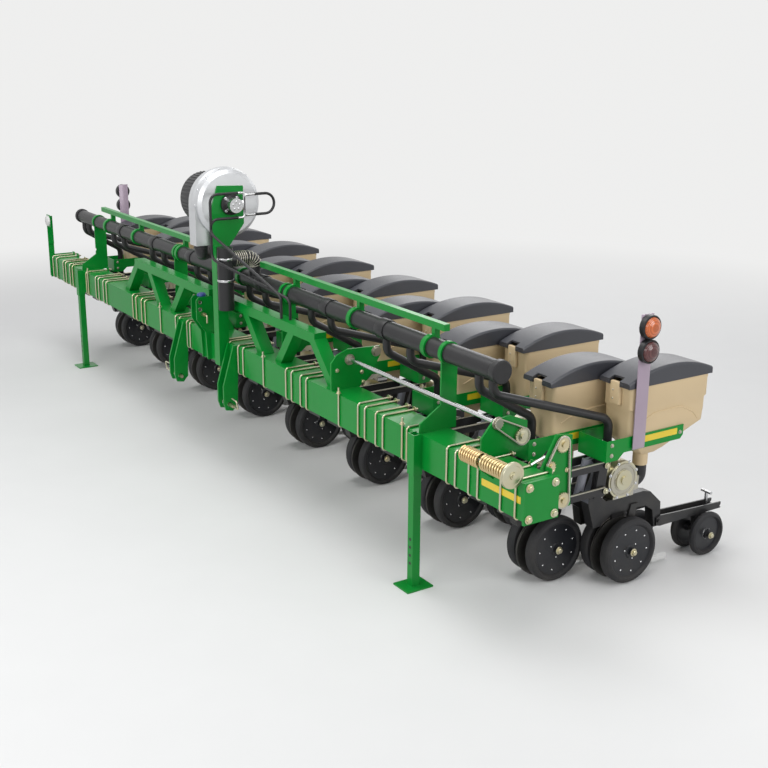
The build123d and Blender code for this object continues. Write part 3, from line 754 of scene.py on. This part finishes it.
def makeStrip(s, length, height):
    # a thin sheet standing on X, its face to -Y, with rounded corners
    freshStart()
    bpy.ops.mesh.primitive_plane_add(size=1, rotation=(pi / 2, 0, 0))
    bpy.ops.transform.resize(value=(length, 1, height))
    bpy.ops.object.transform_apply()
    bpy.ops.object.mode_set(mode="EDIT")
    pickAll()
    bpy.ops.mesh.bevel(offset=s["corner"], segments=3, affect="VERTICES")
    pickAll()
    bpy.ops.mesh.extrude_region_move(TRANSFORM_OT_translate={"value": (0, -s["thick"], 0)})
    pickAll()
    bpy.ops.mesh.normals_make_consistent(inside=False)
    return endEdit(30)


def addStrips(s):
    x0, x1, z0, z1 = s["bar"]
    strip = makeStrip(s, x1 - x0, z1 - z0)
    strip.location = ((x0 + x1) / 2, barFront, (z0 + z1) / 2)
    endEdit()
    settle(strip, "bar_end_strip", "frame", "yellowStrip")
    y0, y1, z0, z1 = s["bracket"]
    strip = makeStrip(s, y1 - y0, z1 - z0)
    strips = []
    for number, x, y in rowUnits:
        for side in (-1, 1):
            copy = strip.copy()
            copy.data = strip.data.copy()
            bpy.context.scene.collection.objects.link(copy)
            copy.rotation_euler = (0, 0, side * pi / 2)
            copy.location = (x + side * s["bracketX"], y + (y0 + y1) / 2, (z0 + z1) / 2)
            strips.append(copy)
    bpy.data.objects.remove(strip)
    joined = joinPieces(strips)
    bpy.ops.object.transform_apply()
    settle(joined, "hopper_bracket_strips", "frame", "yellowStrip")


addStrips(stripSet)
print("strips placed")


# lid pivot knobs and seed firmers

knobSet = {
    "x": 0.046, "y": -0.101, "z": 1.217, "radius": 0.016, "length": 0.018,
    "rim": 0.006, "sunk": 0.004, "edge": 0.002,
}


def addKnobs(s):
    freshStart()
    middle = (0, 0, s["length"] / 2)
    bpy.ops.mesh.primitive_cylinder_add(vertices=20, radius=s["radius"], depth=s["length"], location=middle)
    pickFaces(topFace)
    bpy.ops.mesh.inset(thickness=s["rim"])
    bpy.ops.transform.translate(value=(0, 0, -s["sunk"]))
    bpy.ops.object.mode_set(mode="OBJECT")
    softenEdges(s["edge"])
    knob = endEdit()
    for number, x, y in rowUnits:
        places = [((x + side * s["x"], y + s["y"], s["z"]), (side, 0, 0), 1) for side in (-1, 1)]
        scatter(f"lid_knobs_{number:02d}", knob, places, f"hopper_lid_{number:02d}", "lidPlastic")
    bpy.data.objects.remove(knob)


addKnobs(knobSet)

firmerSet = {
    "route": [(0, 0.060, 0.330), (0, 0.110, 0.150), (0, 0.230, 0.045), (0, 0.330, 0.036)],
    "radius": 0.017, "bend": 0.060, "squeeze": 0.5,
    "tip": (0.030, 0.130, 0.040), "tipAt": (0, 0.345, 0.032), "tipEdge": 0.009,
}


def addFirmers(s):
    # a white tongue that hangs behind the discs and trails over the soil
    bentRod(s["route"], s["radius"], s["bend"])
    bpy.ops.transform.resize(value=(s["squeeze"], 1, 1), center_override=(0, 0, 0))
    stem = endEdit(50)
    tongue = joinPieces([stem, makeBlock(s["tip"], s["tipAt"], s["tipEdge"])])
    scatter("seed_firmers", tongue, copiesAt(unitPoints), "frame", "whitePlastic")
    bpy.data.objects.remove(tongue)


addFirmers(firmerSet)
print("knobs and firmers placed")


# forms that the plain solids lack: hoppers with rounded walls

hopperSet = {
    "rows": [  # height, front, rear, half width, from the rim down
        (1.204, -0.085, 0.540, 0.1142), (1.192, -0.088, 0.543, 0.1160), (1.180, -0.085, 0.540, 0.1142),
        (1.076, -0.085, 0.540, 0.1142), (1.064, -0.078, 0.531, 0.1075), (1.000, -0.076, 0.529, 0.1080),
        (0.924, -0.073, 0.520, 0.1080), (0.888, -0.070, 0.416, 0.1070), (0.800, 0.040, 0.235, 0.0820),
        (0.768, 0.080, 0.186, 0.0560),
    ],
    "corner": 0.030, "wall": 0.006, "inside": 0.235, "taper": (0.93, 0.95),
    "strap": (0.075, 0.026, 0.135), "strapAt": (0, -0.098, 1.160), "strapEdge": 0.007,
    "ridge": [(-0.020, 0.980), (0.110, 1.030), (0.330, 1.036), (0.430, 0.985), (0.470, 0.940)],
    "ridgeX": 0.1065, "ridgeRadius": 0.006, "ridgeBend": 0.10,
    "outletAt": (0, 0.133, 0.688), "outletRadius": 0.04268,
    "outletSteps": ((0.004, 1.03), (0.075, 1.0), (0.010, 1.10)),
}


def makeHopper(s):
    z, front, rear, half = s["rows"][0]
    freshStart()
    bpy.ops.mesh.primitive_plane_add(size=1, location=(0, (front + rear) / 2, z))
    bpy.ops.transform.resize(value=(2 * half, rear - front, 1))
    bpy.ops.object.transform_apply()
    bpy.ops.object.mode_set(mode="EDIT")
    pickAll()
    bpy.ops.mesh.bevel(offset=s["corner"], segments=5, affect="VERTICES")
    pickAll()
    for lowZ, lowFront, lowRear, lowHalf in s["rows"][1:]:
        shift = (0, (lowFront + lowRear - front - rear) / 2, lowZ - z)
        bpy.ops.mesh.extrude_region_move(TRANSFORM_OT_translate={"value": shift})
        bpy.ops.transform.resize(value=(lowHalf / half, (lowRear - lowFront) / (rear - front), 1))
        z, front, rear, half = lowZ, lowFront, lowRear, lowHalf
    pickAll()
    bpy.ops.mesh.normals_make_consistent(inside=False)
    rim = s["rows"][0][0] - 0.001
    pickFaces(lambda f: f.center.z > rim)
    bpy.ops.mesh.inset(thickness=s["wall"])
    bpy.ops.mesh.extrude_region_move(TRANSFORM_OT_translate={"value": (0, 0, -s["inside"])})
    bpy.ops.transform.resize(value=(*s["taper"], 1))
    tub = endEdit(28)
    strap = makeBlock(s["strap"], s["strapAt"], s["strapEdge"])
    spout = makeTurned(s["outletRadius"], s["outletSteps"])
    spout.location = s["outletAt"]
    endEdit()
    ridges = []
    for side in (-1, 1):
        route = [(side * s["ridgeX"], y, z) for y, z in s["ridge"]]
        ridges.append(bentRod(route, s["ridgeRadius"], s["ridgeBend"], 8))
    return joinPieces([tub, strap, spout] + ridges)


hopperSeed = makeHopper(hopperSet)
hoppers = scatter("hopper_tubs", hopperSeed, copiesAt(unitPoints), "frame", "tanPlastic")
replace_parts(hoppers, "seed_hoppers")
bpy.data.objects.remove(hopperSeed)
print("hoppers modelled")


# seed drive: coil springs, toothed wheels and roller chains

driveSet = {
    "springY": -0.941, "springZ": 0.985, "coil": 0.039, "wire": 0.0075,
    "springs": [(3.290, 3.444, 8), (3.464, 3.668, 10)],  # from X, to X, turns
    "loops": [  # X, then Y, Z and radius of each wheel
        (3.6023, [(-0.526, 0.735, 0.042), (-0.541, 1.052, 0.042), (-0.621, 0.941, 0.028)]),
        (3.3223, [(-0.581, 1.022, 0.046), (-0.748, 1.121, 0.026)]),
    ],
    "pitch": 0.0130, "tooth": 0.005, "thick": 0.006, "arcSteps": 12,
    "rings": ((0.011, 0.0), (0.003, -0.0015), (0.006, 0.0), (0.003, 0.0015)),  # inset, rise
    "link": (0.0022, 0.0085, 0.0128), "linkHalf": 0.0046, "linkEdge": 0.0008,
    "roller": 0.0042, "rollerRim": 0.001,
    "cover": 0.100, "coverX": 0.0500,
    "coverSteps": ((0.005, 0.985), (0.0, 0.90), (-0.003, 0.98), (0.0, 0.80), (0.003, 0.98), (0.0, 0.66)),
    "dialX": 3.684, "dial": 0.069,
    "dialSteps": ((0.003, 1.01), (0.003, 0.97), (0.0, 0.80), (-0.002, 0.97), (0.0, 0.40), (0.007, 0.9)),
    "handle": [(3.6085, -0.761, 0.982), (3.6085, -0.671, 1.009)], "handleRadius": 0.007,
}


def makeCoil(s, length, turns):
    # a wire section swept along a screw about X
    freshStart()
    start = (0, 0, s["coil"])
    bpy.ops.mesh.primitive_circle_add(vertices=8, radius=s["wire"], location=start, rotation=(pi / 2, 0, 0))
    bpy.ops.object.transform_apply()
    screw = bpy.context.object.modifiers.new("coil", "SCREW")
    screw.axis, screw.angle, screw.iterations = "X", tau, turns
    screw.screw_offset, screw.steps, screw.render_steps = length / turns, 16, 16
    bpy.ops.object.modifier_apply(modifier="coil")
    bpy.ops.object.mode_set(mode="EDIT")
    pickAll()
    bpy.ops.mesh.remove_doubles(threshold=0.00002)
    bpy.ops.mesh.normals_make_consistent(inside=False)
    return endEdit(60)


def makeSprocket(s, radius):
    # a toothed wheel along Z with a raised hub
    count = round(tau * radius / s["pitch"])
    freshStart()
    bpy.ops.mesh.primitive_cylinder_add(vertices=4 * count, radius=radius + s["tooth"], depth=s["thick"])
    pickFaces(topFace)
    for inset, rise in s["rings"]:
        bpy.ops.mesh.inset(thickness=inset)
        bpy.ops.transform.translate(value=(0, 0, rise))
    bpy.ops.mesh.select_mode(type="VERT")
    bpy.ops.mesh.select_all(action="DESELECT")
    bpy.ops.object.mode_set(mode="OBJECT")
    for v in bpy.context.object.data.vertices:
        gap = round((atan2(v.co.y, v.co.x) % tau) / tau * 4 * count) % 4 >= 2
        v.select = gap and hypot(v.co.x, v.co.y) > radius
    bpy.ops.object.mode_set(mode="EDIT")
    shrink = (radius - s["tooth"]) / (radius + s["tooth"])
    bpy.ops.transform.resize(value=(shrink, shrink, 1), center_override=(0, 0, 0))
    return endEdit(30)


def loopPoints(circles, steps):
    # the outline of a band stretched round the circles, points in Y and Z
    normals = []
    for i, (y0, z0, r0) in enumerate(circles):
        y1, z1, r1 = circles[(i + 1) % len(circles)]
        normals.append(atan2(z1 - z0, y1 - y0) - acos((r0 - r1) / hypot(y1 - y0, z1 - z0)))
    points = []
    for i, (y, z, r) in enumerate(circles):
        start, end = normals[i - 1], normals[i]
        while end < start:
            end += tau
        for k in range(steps + 1):
            a = start + (end - start) * k / steps
            points.append(Vector((0, y + r * cos(a), z + r * sin(a))))
    return points


def chainPlaces(s, x, circles):
    points = loopPoints(circles, s["arcSteps"])
    points.append(points[0])
    total = sum((b - a).length for a, b in zip(points, points[1:]))
    step = total / round(total / s["pitch"])
    places, walked, want = [], 0.0, 0.0
    for a, b in zip(points, points[1:]):
        length = (b - a).length
        while want < walked + length - 1e-6:
            at = a.lerp(b, (want - walked) / length)
            places.append(((x, at.y, at.z), (b - a).normalized(), 1))
            want += step
        walked += length
    return places


def makeLink(s):
    # two side plates on a roller, its run along Z
    plates = [makeBlock(s["link"], (side * s["linkHalf"], 0, 0), s["linkEdge"]) for side in (-1, 1)]
    freshStart()
    bpy.ops.mesh.primitive_cylinder_add(
        vertices=10, radius=s["roller"], depth=2 * s["linkHalf"], rotation=(0, pi / 2, 0))
    bpy.ops.object.transform_apply()
    pickFaces(lambda f: abs(f.normal.x) > 0.9)
    bpy.ops.mesh.inset(thickness=s["rollerRim"])
    return joinPieces(plates + [endEdit()])


def addDrive(s):
    coils = []
    for x0, x1, turns in s["springs"]:
        coil = makeCoil(s, x1 - x0, turns)
        coil.location = (x0, s["springY"], s["springZ"])
        coils.append(endEdit(60))
    settle(joinPieces(coils), "drive_springs", "frame", "copperSpring")
    link = makeLink(s)
    for i, (x, circles) in enumerate(s["loops"]):
        middle = x + s["linkHalf"]
        wheels = []
        for y, z, r in circles:
            wheel = makeSprocket(s, r)
            wheel.rotation_euler = (0, pi / 2, 0)
            wheel.location = (middle, y, z)
            wheels.append(endEdit(30))
        settle(joinPieces(wheels), f"drive_sprockets_{i + 1}", "frame", "zincYellow")
        scatter(f"drive_chain_{i + 1}", link, chainPlaces(s, middle, circles), "frame", "zincGrey")
    cover = makeTurned(s["cover"], s["coverSteps"], 36)
    covers = []
    for number, x, y in rowUnits:
        for side in (-1, 1):
            face = (x + side * s["coverX"], y + unitSet["meterY"], unitSet["meterZ"])
            covers.append((face, (side, 0, 0), 1))
    scatter("meter_covers", cover, covers, "frame", "zincGrey")
    dial = makeTurned(s["dial"], s["dialSteps"], 36)
    place = (s["dialX"], s["springY"], s["springZ"])
    scatter("drive_dial", dial, [(place, (1, 0, 0), 1)], "frame", "zincYellow")
    settle(bentRod(s["handle"], s["handleRadius"]), "drive_handle", "frame", "brightSteel")
    for seed in (link, cover, dial):
        bpy.data.objects.remove(seed)


addDrive(driveSet)
print("seed drive modelled")


# lamps on their strips, and the far end's reflector

lampSet = {
    "ends": [(1, 0.165), (-1, -0.181)],  # side, Y
    "heights": (1.562, 1.424), "looks": ("amberLens", "redLens"),
    "housingX": 3.4604, "housing": 0.064,
    "housingSteps": ((0.004, 1.07), (0.032, 1.0), (0.004, 0.95), (0.0, 0.92), (-0.006, 0.98)),
    "lensX": 3.4914, "lens": 0.059,
    "lensSteps": ((0.006, 0.99), (0.010, 0.93), (0.008, 0.82), (0.006, 0.62), (0.003, 0.5)),
    "strip": (0.0062, 0.092, 0.783), "stripX": 3.4569, "stripZ": 1.2395, "stripEdge": 0.0012,
    "marker": (-3.683, -0.896, 1.290), "markerSize": 0.9,
    "plate": (0.104, 0.006, 0.120), "plateAt": (-3.683, -0.893, 1.290), "plateEdge": 0.001,
}


def addLamps(s):
    housing = makeTurned(s["housing"], s["housingSteps"], 32)
    lens = makeTurned(s["lens"], s["lensSteps"], 32, 60)
    places = [((side * s["housingX"], y, z), (side, 0, 0), 1) for side, y in s["ends"] for z in s["heights"]]
    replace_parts(scatter("lamp_housings", housing, places, "frame", "blackPipe"), "lamps")
    for z, look in zip(s["heights"], s["looks"]):
        places = [((side * s["lensX"], y, z), (side, 0, 0), 1) for side, y in s["ends"]]
        scatter(look + "es", lens, places, "frame", look)
    scatter("end_reflector", lens, [(s["marker"], (0, -1, 0), s["markerSize"])], "frame", "whitePlastic")
    places = [(side * s["stripX"], y, s["stripZ"]) for side, y in s["ends"]]
    strips = [makeBlock(s["strip"], place, s["stripEdge"]) for place in places]
    settle(joinPieces(strips), "lamp_strips", "frame", "paleStrip")
    settle(makeBlock(s["plate"], s["plateAt"], s["plateEdge"]), "end_marker_plate", "frame", "greenPaint")
    for seed in (housing, lens):
        bpy.data.objects.remove(seed)


addLamps(lampSet)
print("lamps modelled")


# fan: intake slats, motor flange, ribs of the ducts, bands and fluid lines

fanSet = {
    "axis": (-0.814, 1.925), "intakeX": -0.0105, "intakeRadius": 0.191,
    "slats": 44, "slat": (0.22466, 0.010, 0.006), "slatEdge": 0.002,
    "flangeX": 0.3122, "flange": 0.076, "flangeSteps": ((0.003, 1.02), (0.013, 1.0), (0.002, 0.96)),
    "rib": (0.057, 0.008, 0.006, 0.002), "ribPitch": 0.016,  # collars: radius, wall, length, edge
    "ductTop": (0.205, -1.002, 1.6348), "ductLow": (-0.192, -0.691, 1.5277),
    "ductDrop": 0.060, "ductBend": 0.040, "ductNeck": 0.004,
    "standpipe": (0.4223, -0.9225), "bands": (1.405, 1.560), "band": (0.0602, 0.003, 0.016, 0.001),
    "crossZ": 1.550, "crossY": (-0.852, -0.765), "crossBend": 0.070, "crossTurns": range(8, 79, 14),
    "pipe": (-0.691, 1.380), "pipeEnd": 3.226,
    "couplers": (0.560, 1.480, 2.150, -0.640, -1.400, -2.150), "collar": (0.0635, 0.0065, 0.090, 0.004),
    "cap": 0.0635, "capSteps": ((0.005, 1.05), (0.036, 1.0), (0.007, 0.90)),
    "steel": [
        [(0.398, -0.664, 1.997), (0.398, -0.748, 1.997), (0.398, -0.748, 1.853), (0.398, -0.664, 1.853)],
        [(0.398, -0.800, 2.012), (0.398, -0.748, 2.012), (0.398, -0.748, 1.838), (0.398, -0.800, 1.838)],
    ],
    "steelRadius": 0.009, "steelBend": 0.020,
    "port": (0.044, 0.036, 0.070), "portAt": (0.384, -0.760, 1.925), "portEdge": 0.004,
    "fluid": [  # bend, then the route
        (0.070, [(0.398, -0.664, 1.997), (0.398, -0.510, 1.997),
                 (0.398, -0.510, 1.853), (0.398, -0.664, 1.853)]),
        (0.055, [(0.398, -0.798, 2.012), (0.398, -1.012, 2.012), (0.398, -1.012, 1.740),
                 (1.060, -0.821, 1.390), (1.060, -0.821, 1.242)]),
        (0.055, [(0.398, -0.798, 1.838), (0.398, -1.012, 1.838), (0.398, -1.012, 1.560),
                 (1.130, -0.791, 1.380), (1.130, -0.791, 1.242)]),
    ],
    "fluidRadius": 0.010,
}


def makeCollar(outer, wall, length, edge):
    # a ring along Z
    freshStart()
    bpy.ops.mesh.primitive_cylinder_add(vertices=32, radius=outer, depth=length, end_fill_type="NOTHING")
    shell = bpy.context.object.modifiers.new("wall", "SOLIDIFY")
    shell.thickness, shell.offset = wall, -1
    bpy.ops.object.modifier_apply(modifier="wall")
    softenEdges(edge)
    return endEdit()


def outletRibs(s):
    # along the slope to the manifold, and two round the neck above it
    top, low, pitch = Vector(s["ductTop"]), Vector(s["ductLow"]), s["ribPitch"]
    knee = top - Vector((0, 0, s["ductDrop"]))
    way = (low - knee).normalized()
    start, run = knee + way * s["ductBend"], (low - knee).length - 2 * s["ductBend"]
    places = [(start + way * k * pitch, way, 1) for k in range(int(run / pitch) + 1)]
    return places + [((top.x, top.y, top.z - s["ductNeck"] - k * pitch), (0, 0, 1), 1) for k in range(2)]


def crossRibs(s):
    # level behind the standpipe, then round the bend into the manifold
    x, pitch, bend = s["standpipe"][0], s["ribPitch"], s["crossBend"]
    y0, y1 = s["crossY"]
    places = [((x, y0 + k * pitch, s["crossZ"]), (0, 1, 0), 1) for k in range(int((y1 - y0) / pitch) + 1)]
    y, z = s["pipe"][0] - bend, s["crossZ"] - bend
    for a in (radians(t) for t in s["crossTurns"]):
        places.append(((x, y + bend * sin(a), z + bend * cos(a)), (0, cos(a), -sin(a)), 1))
    return places


def addFan(s):
    y, z = s["axis"]
    r = s["intakeRadius"]
    slat = makeBlock(s["slat"], (0, 0, 0), s["slatEdge"])
    turns = [k * tau / s["slats"] for k in range(s["slats"])]
    places = [((s["intakeX"], y + r * cos(a), z + r * sin(a)), (0, cos(a), sin(a)), 1) for a in turns]
    scatter("intake_slats", slat, places, "frame", "blackPipe")
    flange = makeTurned(s["flange"], s["flangeSteps"], 32)
    scatter("motor_flange", flange, [((s["flangeX"], y, z), (1, 0, 0), 1)], "frame", "blackPaint")
    rib = makeCollar(*s["rib"])
    scatter("outlet_duct_ribs", rib, outletRibs(s), "frame", "blackPipe")
    scatter("cross_duct_ribs", rib, crossRibs(s), "frame", "zincGrey")
    band = makeCollar(*s["band"])
    places = [((*s["standpipe"], h), (0, 0, 1), 1) for h in s["bands"]]
    scatter("standpipe_bands", band, places, "frame", "brightSteel")
    collar = makeCollar(*s["collar"])
    places = [((x, *s["pipe"]), (1, 0, 0), 1) for x in s["couplers"]]
    scatter("manifold_collars", collar, places, "frame", "blackPipe")
    cap = makeTurned(s["cap"], s["capSteps"], 32)
    places = [((side * s["pipeEnd"], *s["pipe"]), (side, 0, 0), 1) for side in (-1, 1)]
    scatter("manifold_caps", cap, places, "frame", "blackPipe")
    pipes = [bentRod(route, s["steelRadius"], s["steelBend"]) for route in s["steel"]]
    pipes.append(makeBlock(s["port"], s["portAt"], s["portEdge"]))
    settle(joinPieces(pipes), "motor_pipes", "frame", "brightSteel")
    hoses = [bentRod(route, s["fluidRadius"], bend) for bend, route in s["fluid"]]
    settle(joinPieces(hoses), "fluid_lines", "frame", "blackPipe")
    for seed in (slat, flange, rib, band, collar, cap):
        bpy.data.objects.remove(seed)


addFan(fanSet)
print("fan details modelled")


# hitch pins, shaft bearings, painted highlights on the arm edges and painted shade in the stand holes

pinSet = {
    "linkPin": [(0.362, -0.955, 0.500), (0.560, -0.955, 0.500)], "linkRadius": 0.014, "linkBend": 0.014,
    "linkHandle": [
        (0.556, -0.955, 0.500), (0.640, -0.962, 0.500), (0.640, -0.972, 0.562), (0.556, -0.966, 0.562),
    ],
    "mastPin": [(-0.080, -0.941, 1.085), (0.086, -0.941, 1.085)], "mastRadius": 0.0145, "mastBend": 0.012,
    "mastHandle": [(0.082, -0.941, 1.085), (0.120, -0.941, 1.085), (0.120, -0.941, 1.030)],
    "handleRadius": 0.006,
    "eyes": [(0.0512, -0.962, 1.176), (0.0512, -0.962, 1.122)], "eyeSize": 0.017,
    "eyeSteps": ((0.12, 0.96), (0.0, 0.62), (-0.08, 0.96)),
    # heights and size of the black eyelets that paint the shade inside the stand's holes
    "holeZ": (0.150, 0.200, 0.250, 0.300), "holeShadeSize": 0.010, "legFace": -0.9354, "standX": 2.790,
    "bearings": [(1.8212, -0.748, 1.121), (1.8212, -0.549, 1.149), (3.3135, -0.748, 1.121)],
    "bearingSize": 0.036, "bearingSteps": ((0.20, 0.96), (0.0, 0.74), (0.30, 0.95), (0.0, 0.80)),
    "plateBolts": [
        (1.8212, -0.657, 1.026), (1.8212, -0.645, 0.958), (1.8212, -0.840, 1.060),
        (3.5965, -0.600, 0.800), (3.5965, -0.660, 0.845), (3.5965, -0.500, 0.900),
    ],
    "plateBoltSize": 0.010,
    "cap": (0.0, -0.925, 1.214), "capSize": 0.034, "capSteps": ((0.30, 1.0), (0.25, 0.85), (0.12, 0.6)),
    # place and radius of the pale rods that paint a highlight on each arm's top edge
    "armX": 0.0702, "armLift": 0.021, "armHighlightRadius": 0.005,
}


def mirrored(points):
    return [(-x, y, z) for x, y, z in points]


def addArmEdgeHighlights(s):
    # a pale rod along the top edge of each parallel arm, a painted highlight on the black arm
    highlightRods = []
    for number, x, y in rowUnits:
        ends = (barY + unitSet["armFront"], y + unitSet["armRear"])
        for side in (-1, 1):
            for z in unitSet["armZ"]:
                route = [(x + side * s["armX"], end, z + s["armLift"]) for end in ends]
                highlightRods.append(bentRod(route, s["armHighlightRadius"], sides=6))
    settle(joinPieces(highlightRods), "arm_edge_highlights", "frame", "zincGrey")


def addPins(s):
    rods = [bentRod(s["mastPin"], s["mastRadius"])]
    rods.append(bentRod(s["mastHandle"], s["handleRadius"], s["mastBend"]))
    for points in (s["linkPin"], mirrored(s["linkPin"])):
        rods.append(bentRod(points, s["linkRadius"]))
    for points in (s["linkHandle"], mirrored(s["linkHandle"])):
        rods.append(bentRod(points, s["handleRadius"], s["linkBend"]))
    settle(joinPieces(rods), "hitch_pins", "frame", "zincYellow")
    eye = makeTurned(1.0, s["eyeSteps"], 20)
    scatter("mast_eyes", eye, [(p, (1, 0, 0), s["eyeSize"]) for p in s["eyes"]], "frame", "brightSteel")
    # black eyelets on the stand legs, painted shade inside the holes
    for side, hand in ((1, "left"), (-1, "right")):
        holeShades = [((side * s["standX"], s["legFace"], z), (0, -1, 0), s["holeShadeSize"]) for z in s["holeZ"]]
        scatter(f"stand_hole_shade_{hand}", eye, holeShades, f"stand_{hand}", "blackPaint")
    bearing = makeTurned(1.0, s["bearingSteps"], 24)
    places = [(p, (1, 0, 0), s["bearingSize"]) for p in s["bearings"]]
    scatter("shaft_bearings", bearing, places, "frame", "zincGrey")
    places = [(p, (1, 0, 0), s["plateBoltSize"]) for p in s["plateBolts"]]
    scatter("drive_plate_bolts", seeds["bolt"], places, "frame", "zincYellow")
    plug = makeTurned(1.0, s["capSteps"], 20)
    scatter("mast_cap", plug, [(s["cap"], (0, 0, 1), s["capSize"])], "frame", "bluePlastic")
    addArmEdgeHighlights(s)
    for seed in (eye, bearing, plug):
        bpy.data.objects.remove(seed)


addPins(pinSet)
print("pins and bearings placed")


for seed in seeds.values():
    bpy.data.objects.remove(seed)
